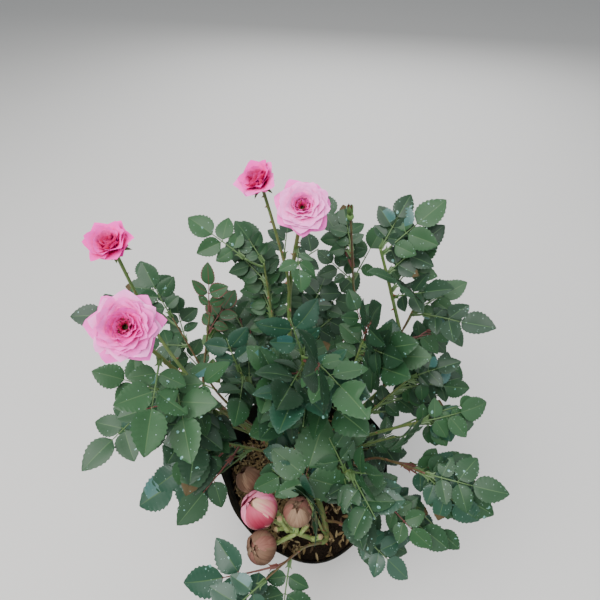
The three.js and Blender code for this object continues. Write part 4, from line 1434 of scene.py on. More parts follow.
@dataclass
class Bush:
    """Grows every cane, stem and leaf by the source's rule."""

    stem_foot: float = 122.3
    stem_height: float = 31
    stem_lean: Pair = (2.0, 1.0)
    stem_bow: float = 0.07
    knob_level: float = 0.72
    knob_radius: float = 11
    knob_depth: float = 0.6
    cane_follows: float = 0.35
    cane_pull: float = 0.38
    stalk_radius: float = 1.9
    stalk_root: float = 0.6
    stalk_sag: float = 4
    heart_shares: Triple = (0.15, 0.6, 1)
    ball_step: float = 3

    def __post_init__(self) -> None:
        """Lays out the canes and stems."""
        self.shoots = shoots()
        self.by_name = {shoot.name: shoot for shoot in self.shoots}
        self.knob = np.array([*self.stem_lean, self.stem_height]) * self.knob_level + UP * self.stem_foot
        for shoot in self.shoots:
            shoot.stem = self.stem_curve(shoot)
        for shoot in sorted(self.shoots, key=lambda one: one.source != "stem"):
            shoot.cane = self.cane_curve(shoot)
        self.hearts = np.array([[shoot.stem.at(at) for at in self.heart_shares] for shoot in self.shoots])
        self.weights = np.array([shoot.reach**2 for shoot in self.shoots])
        self.apart = norm(self.hearts[:, None, 1] - self.hearts[None, :, 1], axis=-1)
        self.low, self.high = (np.array(corner) / MM for corner in CAD_BOX)
        self.lay_limbs()
        self.lay_flowers()

    def stem_curve(self, shoot: Shoot) -> Bend:
        """Works out where a shoot's green stem runs.

        Args:
            shoot: The shoot.

        Returns:
            The stem's curve.
        """
        tip = shoot.tip()
        foot = tip - direction_of(shoot.heading, 90 - shoot.lean) * shoot.length
        bow = shoot.length * self.stem_bow * math.sin(shoot.lean * DEGREE)
        return Bend(np.array([foot, (foot + tip) / 2 + UP * bow, tip]))

    def cane_curve(self, shoot: Shoot) -> Bend:
        """Works out where a shoot's cane runs, from the knob or another cane to the stem's foot.

        Args:
            shoot: The shoot.

        Returns:
            The cane's curve.
        """
        end, arriving = shoot.stem.at(0), shoot.stem.heading(0)
        if shoot.source == "stem":
            leaving = direction_of(*shoot.leave)
            origin = self.knob + leaving * self.knob_radius * self.knob_depth
        else:
            parent = self.by_name[shoot.source]
            origin = parent.cane.at(shoot.share)
            leaving = unit(parent.cane.heading(shoot.share) * self.cane_follows + unit(end - origin))
        pull = norm(end - origin) * self.cane_pull
        return Bend(np.array([origin, origin + leaving * pull, end - arriving * pull, end]))

    def head_stalk(self, head: Head, shoot: Shoot) -> Bend:
        """Works out where the stalk of a bud or spent head runs.

        Args:
            head: The bud or spent head.
            shoot: The shoot that bears it.

        Returns:
            The stalk's curve.
        """
        root = shoot.stem.at(self.stalk_root)
        end = head.centre() - UP * head.radius * 0.5
        return Bend(np.array([root, mix(root, end, 0.55) - UP * self.stalk_sag, end]))

    def lay_limbs(self) -> None:
        """Lays balls along every limb, for the leaves to keep clear of."""
        centres, radii, owners = [], [], []

        def lay(owner: int, curve: Bend, radius: Callable[[float], float]) -> None:
            """Lays one limb's balls.

            Args:
                owner: The shoot's number, or -1 for a cane.
                curve: The limb's middle line.
                radius: Its radius at a share of the curve.
            """
            count = math.ceil(curve.length() / self.ball_step)
            for i in range(count + 1):
                centres.append(curve.at(i / count))
                radii.append(radius(i / count))
                owners.append(owner)

        for number, shoot in enumerate(self.shoots):
            lay(-1, shoot.cane, shoot.cane_radius)
            lay(number, shoot.stem, lambda _, shoot=shoot: shoot.cane_radius(1))
            for head in HEADS if shoot.heads else ():
                lay(number, self.head_stalk(head, shoot), lambda _: self.stalk_radius)
        self.limbs, self.limb_radii = np.array(centres), np.array(radii)
        self.limb_owners = np.array(owners)

    def lay_flowers(self) -> None:
        """Lays one ball for every bloom, bud and spent head."""
        balls = [(bloom_centre(shoot), shoot.bloom.radius) for shoot in self.shoots if shoot.bloom]
        balls += [(head.centre(), head.radius) for head in HEADS]
        self.flowers = np.array([centre for centre, _ in balls])
        self.flower_radii = np.array([radius for _, radius in balls])

    def in_own_space(self, points: Array, number: int, rule: LeafRule) -> bool:
        """Tells whether all points lie in a shoot's own space, clear of the bag and the neighbours.

        Args:
            points: The places.
            number: The shoot's number in the list.
            rule: The leaf rule in force.

        Returns:
            True where they all do.
        """
        inside = np.hypot(points[:, 0], points[:, 1]) <= rule.widest_bag
        if np.any((points[:, 2] < rule.over_rim) & inside):
            return False
        if (points < self.low + rule.box_gap).any() or (points > self.high - rule.box_gap).any():
            return False
        squares = ((points[:, None, None, :] - self.hearts[None]) ** 2).sum(-1)
        depth = (squares - self.weights[None, :, None]).min(-1)
        beyond = depth - depth[:, number][:, None] - 2 * rule.cell_gap * self.apart[number][None, :]
        beyond[:, number] = 1.0
        return bool((beyond > 0).all())

    def try_leaf(
        self, number: int, blades: list[Leaflet], index: int, attempt: int, rule: LeafRule
    ) -> Leaf | None:
        """Makes one try at a leaf.

        Args:
            number: The shoot's number in the list.
            blades: The leaflets that the shoot has already.
            index: The leaf's number on its stem.
            attempt: The number of the try.
            rule: The leaf rule in force.

        Returns:
            The leaf, or None where too little of it fits.
        """
        shoot = self.shoots[number]
        dice = Dice(shoot.seed * 1000 + index * 31 + attempt)
        extra = index >= shoot.leaves
        step = index / (shoot.leaves - 1) if shoot.leaves > 1 else 0.0
        step = (index * rule.golden_share) % 1 if extra else step
        share = mix(max(rule.lowest, shoot.first) if extra else shoot.first, shoot.last, step)
        heading = shoot.stem.heading(share)
        side, over = square_to(heading)
        crowned = index == shoot.leaves - 1 and shoot.last == 1
        turn = shoot.turn + index * rule.turn_step + attempt * rule.try_turn
        turn += dice.spread(rule.turn_wander)
        low, high, crest, wander = rule.rise
        rise = (crest if crowned else mix(low, high, share)) + dice.spread(wander)
        flat = math.cos(rise * DEGREE)
        along = side * math.cos(turn * DEGREE) * flat + over * math.sin(turn * DEGREE) * flat
        along = along + heading * math.sin(rise * DEGREE)
        if crowned and shoot.crest is not None:
            along = along + direction_of(shoot.crest, rule.crest_rise)
        along = along - UP * (rule.droop[0] + rule.droop[1] * dice.roll())
        light = unit(np.array(rule.light))
        along = unit(along - light * rule.flatten * (along @ light))
        shrink = rule.shrink ** (attempt // rule.per_size)
        scale = shoot.size * shrink * mix(rule.size[0], rule.size[1], share)
        scale *= 1 + dice.spread(rule.size[2])
        level, upright = rule.face_wander
        face = np.array([dice.spread(level), dice.spread(level), dice.spread(upright)]) + light
        face = unit(face - along * (face @ along))
        start = shoot.stem.at(share)
        root = start
        if rule.twig:
            branch = turn + rule.twig_turn * dice.roll()
            branching = spoke(side, over, branch * DEGREE) + heading * rule.twig_rise
            root = start + unit(branching) * rule.twig * dice.roll() * (attempt % 3) / 2
        reach = along * rule.reach * scale
        stalk = np.array([root + reach * spot for spot in rule.stalk_spots] + [root] * bool(rule.twig))
        if not self.in_own_space(stalk, number, rule) or not self.stalk_clear(stalk, number, rule):
            return None
        leaflets = [
            self.leaflet(dice, root + along * far * scale, along, face, length * scale, spread, rule)
            for far, length, spread in rule.leaflets
        ]
        kept = [one for one in leaflets if self.fits(one, number, blades, rule)]
        if len(kept) < rule.fewest:
            return None
        return Leaf(root, along, face, scale, kept, share, start)

    def stalk_clear(self, points: Array, number: int, rule: LeafRule) -> bool:
        """Tells whether a leaf's stalk touches no limb of another shoot.

        Args:
            points: Places along the stalk.
            number: The shoot's number in the list.
            rule: The leaf rule in force.

        Returns:
            True where it touches none.
        """
        others = self.limb_owners != number
        away = norm(points[:, None] - self.limbs[others][None], axis=-1)
        needed = self.limb_radii[others] + rule.stalk_radius + rule.limb_gap
        return bool((away > needed[None]).all())

    def leaflet(
        self, dice: Dice, foot: Array, along: Array, face: Array, size: float,
        spread: float, rule: LeafRule,
    ) -> Leaflet:
        """Turns a leaflet to its side of the stalk, with a nod and a tilt of its own.

        Args:
            dice: What makes it differ.
            foot: Where it starts.
            along: The way of the leaf's stalk.
            face: The way that the leaf faces.
            size: Its length.
            spread: Its turn from the stalk, in degrees.
            rule: The leaf rule in force.

        Returns:
            The leaflet.
        """
        length = size * (1 + dice.spread(rule.length_wander))
        way = turned(along, face, spread)
        across = unit(np.cross(face, way))
        nod, tilt = dice.spread(rule.nod), dice.spread(rule.tilt)
        heading = unit(turned(way, across, nod))
        own_face = unit(turned(turned(face, across, nod), heading, tilt))
        return Leaflet(foot, heading, own_face, length)

    def fits(self, one: Leaflet, number: int, blades: list[Leaflet], rule: LeafRule) -> bool:
        """Tells whether a leaflet keeps to its shoot's space and touches nothing before it.

        Args:
            one: The leaflet.
            number: The shoot's number in the list.
            blades: The leaflets that the shoot has already.
            rule: The leaf rule in force.

        Returns:
            True where it does.
        """
        side = np.cross(one.face, one.along)
        half = rule.width / 2
        spots = ((1, 0), (rule.widest, half), (rule.widest, -half), (rule.widest, 0), (rule.near_tip, 0))
        points = np.array([one.foot + (one.along * far + side * out) * one.length for far, out in spots])
        if not self.in_own_space(points, number, rule) or any(gap.hides(points) for gap in CLEARINGS):
            return False
        away = norm(points[:, None] - self.flowers[None], axis=-1)
        if (away < self.flower_radii[None] + rule.flower_gap).any():
            return False
        if any(lies_in(points, other, rule.leaf_gap, rule).any() for other in blades):
            return False
        others = self.limb_owners != number
        margins = self.limb_radii[others] + rule.limb_gap
        return not lies_in(self.limbs[others], one, margins, rule).any()

    def grow(self) -> None:
        """Grows all the leaves: each shoot's own first, and then the finer ones between them."""
        for number, shoot in enumerate(self.shoots):
            self.grow_leaves(number, range(shoot.leaves), RULE)
        self.hold_out(SHOWN_LEAF)
        for number, shoot in enumerate(self.shoots):
            self.grow_leaves(number, range(shoot.leaves, shoot.leaves + shoot.more), FINER)
        LOG.info("leaves: %d", sum(len(shoot.grown) for shoot in self.shoots))

    def hold_out(self, shown: ShownLeaf) -> None:
        """Adds the leaf that the photograph shows in the foreground.

        Args:
            shown: Its measures.
        """
        shoot = self.by_name[shown.shoot]
        light = unit(np.array(RULE.light))
        along = np.array(shown.toward)
        along = unit(along - light * (along @ light))
        root = shoot.stem.at(1)
        leaflets = [
            Leaflet(root + along * far, turned(along, light, spread), light, length)
            for far, length, spread in shown.leaflets
        ]
        leaf = Leaf(root, along, light, shown.scale, leaflets, 1.0, root, red=0.7, green=Green.MID)
        leaf.dice = Dice(6)
        shoot.grown.append(leaf)

    def grow_leaves(self, number: int, indices: range, rule: LeafRule) -> None:
        """Grows some of a shoot's leaves, each the largest of its tries.

        Args:
            number: The shoot's number in the list.
            indices: The leaves' numbers on the stem.
            rule: The leaf rule in force.
        """
        shoot = self.shoots[number]
        blades = [leaflet for leaf in shoot.grown for leaflet in leaf.leaflets]
        for index in indices:
            tries = (self.try_leaf(number, blades, index, attempt, rule) for attempt in range(rule.tries))
            found = [leaf for leaf in tries if leaf]
            if not found:
                continue
            best = max(found, key=lambda leaf: sum(one.length**2 for one in leaf.leaflets))
            best.dice = Dice(shoot.seed * 7000 + index)
            best.red = shoot.red
            best.green = best.dice.pick(shoot.greens)
            shoot.grown.append(best)
            blades.extend(best.leaflets)


def lies_in(points: Array, one: Leaflet, margin: Amount, rule: LeafRule) -> Array:
    """Tells which points lie within a leaflet.

    Args:
        points: The points.
        one: The leaflet.
        margin: How far it is grown all round.
        rule: The leaf rule in force.

    Returns:
        Whether each point lies in it.
    """
    away = points - one.foot
    far = away @ one.along
    side = np.cross(one.face, one.along)
    inside = (far >= -margin) & (far <= one.length + margin) & (np.abs(away @ one.face) <= margin)
    return inside & (np.abs(away @ side) < one.length * rule.width / 2 + margin)


def bloom_axis(shoot: Shoot) -> Array:
    """Returns the way that a shoot's bloom faces."""
    return unit(np.array(shoot.bloom.facing, float))


def bloom_centre(shoot: Shoot) -> Array:
    """Returns the middle of a shoot's bloom."""
    return shoot.tip() + bloom_axis(shoot) * shoot.bloom.radius * 0.45


# Leaves


@dataclass(frozen=True)
class LeafShape:
    """How a leaflet's blade is cut and curved."""

    teeth: int = 9
    columns: tuple[float, ...] = (-1.0, -0.52, -0.035, 0.035, 0.52, 1.0)
    edge_from: float = 0.9
    rib_to: float = 0.1
    half_width: float = 0.345
    width_wander: float = 0.06
    tooth: float = 0.075
    notch: float = 0.35
    tooth_lean: float = 0.028
    fold: float = 0.3
    fold_wander: float = 0.5
    arch: float = 0.15
    arch_wander: float = 0.7
    bend: float = 0.05
    quilt: float = 0.028
    rib: float = 0.012
    wave: float = 0.018
    bite: Triple = (0.45, 0.8, 0.5)
    stalk: float = 0.06

    def blade(self, one: Leaflet, dice: Dice, bitten: bool = False) -> Array:
        """Works out the points of one blade, row by row from its foot.

        Args:
            one: The leaflet.
            dice: The leaf's own dice.
            bitten: Whether a piece of one side is eaten away.

        Returns:
            The points in millimetres.
        """
        rows = 2 * self.teeth + 1
        share = np.linspace(0, 1, rows)[:, None]
        across = np.array(self.columns)[None, :]
        outline = (share**0.6) * (1 - share) ** 0.9
        outline = outline / outline.max()
        is_tip = (np.arange(rows) % 2 == 1)[:, None]
        saw = np.where(is_tip, 1 + self.tooth, 1 - self.tooth * self.notch)
        off = np.abs(across)
        edge = off > self.edge_from
        wide = self.half_width * (1 + dice.spread(self.width_wander)) * outline * np.where(edge, saw, 1.0)
        y = across * wide
        if bitten:
            low, high, left = self.bite
            y = np.where((share > low) & (share < high) & (across > left), y * left * 0.6, y)
        forward = np.where(edge & is_tip, self.tooth_lean, 0.0)
        x = self.stalk + (1 - self.stalk) * share + forward * (1 - share)
        fold = self.fold * (1 + dice.spread(self.fold_wander))
        arch = self.arch * (1 + dice.spread(self.arch_wander))
        bend = dice.spread(self.bend)
        quilt = np.where(is_tip, self.quilt, -self.quilt * 0.4)
        relief = np.where((off > self.rib_to) & (off < self.edge_from), quilt, 0.0)
        rib = np.where(off < self.rib_to, -self.rib, 0.0) * np.sin(math.pi * share)
        z = fold * np.abs(y) * (1 - 0.3 * share) - arch * share**2.2 + relief + rib
        wave = self.wave * np.sin(share * 9 + dice.roll() * 6) * across
        z = z + wave * (1 - share) - arch * 0.35 * off**2 * outline
        y = y + bend * share**2
        side = np.cross(one.face, one.along)
        flat = np.stack([x + 0 * y, y, z], -1).reshape(-1, 3) * one.length
        return one.foot + flat[:, :1] * one.along + flat[:, 1:2] * side + flat[:, 2:] * one.face


@dataclass
class Foliage:
    """The crown: blades, stalks, and the water marks on them. Lengths are in millimetres."""

    bush: Bush
    shape: LeafShape = LeafShape()
    edged: LeafShape = LeafShape(columns=(-1.0, -0.9, -0.48, -0.035, 0.035, 0.48, 0.9, 1.0))
    red_blades: float = 0.7
    bitten: float = 0.02
    browned: float = 0.025
    brown_rows: int = 4
    # Blades whose luck is past this get the painted sky reflection over these rows.
    painted_reflection_luck: float = 0.97
    painted_reflection_rows: tuple[int, int] = (3, -5)
    sag: float = 0.04
    stalk_radii: Pair = (0.8, 0.45)
    twig_radii: Pair = (1.1, 0.8)
    twig_sag: float = 0.25
    leaflet_radii: Pair = (0.42, 0.36)
    wing: tuple[Triple, ...] = (
        (0, 0.5, 0), (0.7, 1.9, 0.3), (5.2, 1.7, 0.5), (7.6, 3.0, 0.9), (6.2, 0.5, 0.4),
    )
    wetness: tuple[float, ...] = (1.0, 1.1, 1.3, 1.8, 0.7)
    marks: tuple[tuple, ...] = ((WATER_MARK_AND_SKY_TINT, 15000, 31, 0.2, 0.55), (DROP_PAINTED_REFLECTION, 1300, 32, 0.6, 1.6))
    mark_sides: int = 7
    stalks: Form = field(default_factory=Form)

    def build(self) -> None:
        """Makes the pieces of the crown, one of blades for each part of it."""
        for part, wetness in zip(Part, self.wetness):
            form = Form()
            for colour in (*Green, *LeafTrim):
                form.look(colour.value)
            members = [shoot for shoot in self.bush.shoots if shoot.part is part]
            for shoot in members:
                for leaf in shoot.grown:
                    self.add_leaf(form, leaf)
            nodes = ["shoot_" + shoot.name for shoot in members if not shoot.heads]
            crown = form.piece("leaves_" + part.value, "leaves", *nodes)
            self.add_water(crown, part, wetness)
        self.stalks.piece("leaf_stalks", "leaves")

    def add_leaf(self, form: Form, leaf: Leaf) -> None:
        """Adds a leaf's blades, and its stalk to the joined stalks.

        Args:
            form: The blades of this part of the crown.
            leaf: The leaf.
        """
        red = leaf.dice.roll() < leaf.red
        shape = self.edged if red and leaf.red > self.red_blades else self.shape
        sag = self.sag * RULE.reach * leaf.scale
        rows, columns = 2 * shape.teeth + 1, len(shape.columns)
        faces = grid(rows, columns)[:, ::-1]
        for one in leaf.leaflets:
            lifted = replace(one, foot=self.sagged(leaf, one, sag))
            points = shape.blade(lifted, leaf.dice, leaf.dice.roll() < self.bitten)
            form.add(points, faces, self.looks(form, leaf, shape is self.edged, rows - 1, columns - 1))
        self.add_stalk(leaf, red, sag)

    def sagged(self, leaf: Leaf, one: Leaflet, sag: float) -> Array:
        """Returns a leaflet's foot on its leaf's bowed stalk."""
        far = (one.foot - leaf.root) @ leaf.along / (RULE.reach * leaf.scale)
        return one.foot + leaf.face * sag * 4 * far * (1 - far)

    def looks(self, form: Form, leaf: Leaf, red: bool, rows: int, wide: int) -> list[int]:
        """Deals the finish of every face of one blade, the painted sky reflection included.

        Args:
            form: The form that numbers the finishes.
            leaf: The leaf.
            red: Whether the leaf is edged and ribbed with red.
            rows: How many rows of faces.
            wide: How many faces across.

        Returns:
            The finishes' numbers.
        """
        blade = form.look(leaf.green.value)
        rib = form.look((LeafTrim.RED_RIB if red else LeafTrim.RIB).value)
        table = np.full((rows, wide), blade)
        table[:, wide // 2] = rib
        luck = leaf.dice.roll()
        if red:
            table[:, [0, -1]] = form.look(LeafTrim.RED_EDGE.value)
        elif luck < self.browned:
            table[-self.brown_rows :] = form.look(LeafTrim.BROWN_EDGE.value)
        # A few blades get a painted sky reflection on one side of the midrib.
        elif luck > self.painted_reflection_luck:
            table[slice(*self.painted_reflection_rows), :2] = form.look(LeafTrim.SKY.value)
        return table.ravel().tolist()

    def add_stalk(self, leaf: Leaf, red: bool, sag: float) -> None:
        """Adds a leaf's stalk, the short stalks of its leaflets and the wings at its foot.

        Args:
            leaf: The leaf.
            red: Whether it is red.
            sag: How far its middle rises from straight.
        """
        finish = STALK_RED if red else STALK_GREEN
        share = np.linspace(0, 1, 8)
        line = leaf.root + np.outer(share * (RULE.reach * leaf.scale), leaf.along)
        line = line + np.outer(4 * share * (1 - share) * sag, leaf.face)
        tube(self.stalks, line, mix(*self.stalk_radii, share) * leaf.scale**0.5, sides=5, finish=finish)
        twig = leaf.root - leaf.start
        if norm(twig) > 1:
            way = np.linspace(0, 1, 7)
            line = leaf.start + np.outer(way, twig)
            line = line - np.outer(way * (1 - way) * self.twig_sag * norm(twig), UP)
            tube(self.stalks, line, mix(*self.twig_radii, way), sides=6, finish=finish)
        for one in leaf.leaflets:
            foot = self.sagged(leaf, one, sag)
            end = foot + one.along * one.length * (self.shape.stalk + 0.04)
            short = np.array([foot, end])
            tube(self.stalks, short, np.array(self.leaflet_radii), sides=3, finish=finish)
        side = np.cross(leaf.face, leaf.along)
        for way in (-1, 1):
            wing = [leaf.root + leaf.along * x + side * way * y + leaf.face * z for x, y, z in self.wing]
            self.stalks.add(np.array(wing), [[0, 1, 2, 3, 4][::-way]], finish)

    def add_water(self, crown: Object, part: Part, wetness: float) -> None:
        """Scatters dried water marks and drops over a part of the crown; the drops' pale colour is a
        painted reflection of the sky, and so is the marks' blue tint.

        Args:
            crown: The blades.
            part: Which part of the crown they are.
            wetness: How many marks this part has, against the usual.
        """
        mark = self.mark_shape()
        for finish, density, seed, smallest, largest in self.marks:
            marks = scattered(
                f"{finish.name}s_{part.value}", crown, finish, Shape=mark, Seed=seed, Smallest=smallest,
                Density=density * wetness, Largest=largest, Tumble=0.0, Lift=0.1 * MM,
            )
            settle(marks, "leaves")
        bpy.data.objects.remove(mark)

    def mark_shape(self) -> Object:
        """Makes one low, round mark of a millimetre.

        Returns:
            The mark, as a helper.
        """
        turn = circle(self.mark_sides)
        rim = np.stack([np.cos(turn), 0.8 * np.sin(turn), -0.12 + 0 * turn], -1)
        form = Form()
        faces = [face[::-1] for face in fan(self.mark_sides, 0, self.mark_sides)]
        form.add(np.concatenate([rim, [[0, 0, 0.22]]]), faces, WATER_MARK_AND_SKY_TINT)
        return form.helper("mark_shape")


# Canes, stems and prickles


@dataclass
class Wood:
    """The short stem, the canes and green stems with their bark, and their prickles. In millimetres."""

    bush: Bush
    stem_profile: tuple[Pair, ...] = (
        (0, 10.5), (0.05, 9.3), (0.12, 8.0), (0.2, 7.0), (0.3, 6.4), (0.46, 6.9), (0.54, 8.2),
        (0.62, 10.2), (0.74, 10.9), (0.84, 9.4), (0.92, 7.6), (0.97, 4.6), (1, 1.5),
    )
    red_canes: tuple[str, ...] = (
        "red_left", "slender_right", "far_right", "right_front", "front_left", "front", "far_left",
        "right_upper",
    )
    step: float = 2.6
    bark_depth: float = 0.09
    tip_share: float = 0.62
    bud_tip: float = 0.8
    bloom_tip: float = 1.15
    joint_swell: float = 0.16
    joint_reach: float = 1.6
    prickly_from: float = 0.95
    prickle_sides: int = 6
    prickle_rings: tuple[Triple, ...] = ((0, 0.42, 0), (0.35, 0.24, -0.02), (0.75, 0.1, -0.16))
    prickle_hook: float = 0.34
    prickle_start: Pair = (9, 17)
    prickle_step: Pair = (7, 20)
    prickle_length: Pair = (2.0, 3.6)
    prickles: Form = field(default_factory=Form)

    @staticmethod
    def bark(seed: int, depth: float) -> Callable[[Array, Array], Array]:
        """Makes a relief that runs along a limb.

        Args:
            seed: A whole number.
            depth: The relief's depth, of the radius.

        Returns:
            A function of the way along and the angle round.
        """
        dice = Dice(seed)
        shifts = [dice.shift() for _ in range(4)]

        def relief(way: Array, angle: Array) -> Array:
            """Draws ridges and knots along the limb.

            Args:
                way: The way along it.
                angle: The angle round it.

            Returns:
                The radius's change.
            """
            ridges = np.sin(3 * angle + way / 17 + shifts[0])
            ridges += 0.7 * np.sin(5 * angle - way / 11 + shifts[1])
            knots = np.sin(way / 5.3 + shifts[2]) * np.cos(angle + shifts[3])
            return depth * (0.5 * ridges + 0.5 * knots)

        return relief

    def build(self) -> None:
        """Makes the stem, the canes, the stems and their prickles."""
        self.short_stem()
        canes = Form()
        for shoot in self.bush.shoots:
            self.limb(canes, shoot)
        canes.piece("canes", "cane_bark", *["cane_" + shoot.name for shoot in self.bush.shoots])
        self.prickles.piece("prickles", "cane_bark")

    def short_stem(self) -> None:
        """Makes the woody foot with its root flare and knob."""
        share, radii = np.array(self.stem_profile).T
        fine = np.linspace(0, 1, 40)
        rise = [*self.bush.stem_lean, self.bush.stem_height]
        line = np.outer(fine, rise) + UP * self.bush.stem_foot
        shift = Dice(90).roll() * 6

        def relief(way: Array, angle: Array) -> Array:
            """Draws out the root flare and wrinkles the bark.

            Args:
                way: The way along the stem.
                angle: The angle round it.

            Returns:
                The radius's change.
            """
            low = np.exp(-way / 5)
            lobes = 0.16 * low * np.cos(5 * angle + 1) - 0.16 * low
            wrinkles = 0.035 * np.sin(7 * angle + way / 3 + shift)
            wrinkles += 0.03 * np.sin(way * 1.3 + 2 * np.cos(angle * 3))
            return lobes + wrinkles - 0.06

        form = Form()
        tube(form, line, np.interp(fine, share, radii), sides=28, finish=OLD_BARK, relief=relief)
        form.piece("stem_bark", "old_bark", "short_stem")

    def limb(self, form: Form, shoot: Shoot) -> None:
        """Adds a cane and the green stem that it goes over into.

        Args:
            form: The joined canes.
            shoot: The shoot.
        """
        cane, stem = shoot.cane.row(self.step), shoot.stem.row(self.step)
        line = np.concatenate([cane[:-1], stem])
        low = shoot.cane_radius(1)
        tip = self.bud_tip if shoot.tight_bud else low * self.tip_share
        tip = max(tip, self.bloom_tip) if shoot.bloom else tip
        radii = np.linspace(shoot.girth, low, len(cane))[:-1]
        radii = np.concatenate([radii, np.linspace(low, tip, len(stem))])
        way = way_along(line)
        stem_start = way[len(cane) - 1]
        for leaf in shoot.grown:
            joint = stem_start + leaf.share * (way[-1] - stem_start)
            radii = radii * (1 + self.joint_swell * np.exp(-(((way - joint) / self.joint_reach) ** 2)))
        sides = 10 if shoot.source == "stem" else 8
        finish = RED_CANE if shoot.name in self.red_canes else CANE
        tube(form, line, radii, sides, finish, self.bark(shoot.seed, self.bark_depth))
        self.add_prickles(line, radii, way, shoot.seed)

    def add_prickles(self, line: Array, radii: Array, way: Array, seed: int) -> None:
        """Adds the prickles of one limb, hooked downward.

        Args:
            line: The limb's middle line.
            radii: Its radius at each point.
            way: The way along it, in millimetres.
            seed: A whole number.
        """
        dice = Dice(seed + 400)
        at = mix(*self.prickle_start, dice.roll())
        while at < way[-1] - 8:
            spot = min(int(np.searchsorted(way, at)), len(line) - 2)
            heading = unit(line[spot + 1] - line[spot])
            side, over = square_to(heading)
            out = spoke(side, over, dice.roll() * FULL_TURN)
            if radii[spot] > self.prickly_from:
                size = mix(*self.prickle_length, dice.roll()) * min(1.0, radii[spot] / 1.6)
                self.prickle(line[spot] + out * radii[spot] * 0.8, out, heading, size)
            at += mix(*self.prickle_step, dice.roll())

    def prickle(self, foot: Array, out: Array, heading: Array, size: float) -> None:
        """Adds one prickle.

        Args:
            foot: Where it stands.
            out: The way out of the bark.
            heading: The way up the limb.
            size: Its length in millimetres.
        """
        across = np.cross(heading, out)
        turn = circle(self.prickle_sides)
        rings = []
        for far, wide, hook in self.prickle_rings:
            middle = foot + out * far * size + heading * hook * size
            ring = np.outer(np.cos(turn) * wide * size * 1.35, heading)
            rings.append(middle + ring + np.outer(np.sin(turn) * wide * size * 0.7, across))
        rings.append((foot + out * size - heading * self.prickle_hook * size)[None])
        sides, last = self.prickle_sides, (len(rings) - 1) * self.prickle_sides
        faces = grid(len(rings) - 1, sides, closed=True)[:, ::-1].tolist()
        self.prickles.add(np.concatenate(rings), faces + fan(last, last - sides, sides), PRICKLE)


# Blooms, buds and spent heads


@dataclass(frozen=True)
class PetalForm:
    """One petal's measures, of the bloom's radius, and its leans from the bloom's axis in degrees."""

    length: float
    width: float
    foot_lean: float
    tip_lean: float
    cup: float
    curl: float
    point: float
    ruffle: float
    root: float = 0.07
    rows: int = 11
    columns: int = 9
    steps: int = 40

    def points(self, dice: Dice) -> tuple[Array, Array]:
        """Works out the petal standing at turn 0, out along X and up along Z.

        Args:
            dice: What makes it differ from the next one.

        Returns:
            The points, of the bloom's radius, and their places on the petal map.
        """
        fine = np.linspace(0, 1, self.steps + 1)
        lean = mix(self.foot_lean, self.tip_lean, fine**1.15) * DEGREE
        step = self.length / self.steps
        out = self.root + np.concatenate([[0], np.cumsum(np.sin(lean[1:]) * step)])
        up = np.concatenate([[0], np.cumsum(np.cos(lean[1:]) * step)])
        v, u = np.linspace(0, 1, self.rows)[:, None], np.linspace(-1, 1, self.columns)[None]
        v, u = v + 0 * u, u + 0 * v
        along = v * (1 - mix(0.3 * u**2, 0.5 * np.abs(u) ** 1.2, self.point))
        swell = np.sin(np.minimum(1, v / 0.68) * math.pi / 2) ** 1.2
        across = u * (self.width * self.length * (0.3 + 0.7 * swell))
        here_out, here_up = np.interp(along, fine, out), np.interp(along, fine, up)
        here_lean = np.interp(along, fine, lean)
        lift = self.cup * across**2 / max(self.length, 1e-3) * 1.6 * (0.35 + 0.65 * v)
        lift -= self.curl * self.length * np.abs(u) ** 3 * v**2 * 0.5
        wave = np.sin(u * 4.2 + dice.shift()) + 0.6 * np.sin(u * 7.5 + v * 3 + dice.shift())
        lift += self.ruffle * self.length * wave * v**2
        x = here_out - np.cos(here_lean) * lift
        z = here_up + np.sin(here_lean) * lift
        places = np.stack([0.5 + 0.5 * u, np.clip(v, 0.01, 0.99)], -1).reshape(-1, 2)
        return np.stack([x, across, z], -1).reshape(-1, 3), places


SHUT_PETAL = PetalForm(
    length=2.95, width=0.25, foot_lean=88, tip_lean=-106, cup=1.25, curl=0.06, point=0.4, ruffle=1,
    root=0.02, rows=15,
)
SEPAL_FORM = PetalForm(
    length=1, width=0.15, foot_lean=70, tip_lean=118, cup=1.6, curl=0, point=1, ruffle=0.01, rows=9,
    columns=5,
)
WRAP = PetalForm(
    length=2.1, width=0.15, foot_lean=26, tip_lean=-16, cup=1.2, curl=0, point=0.8, ruffle=0.004,
    root=0.02,
)
SLIVER = replace(WRAP, length=1.9, width=0.14, foot_lean=20, tip_lean=-14, point=0.5, root=0.01)


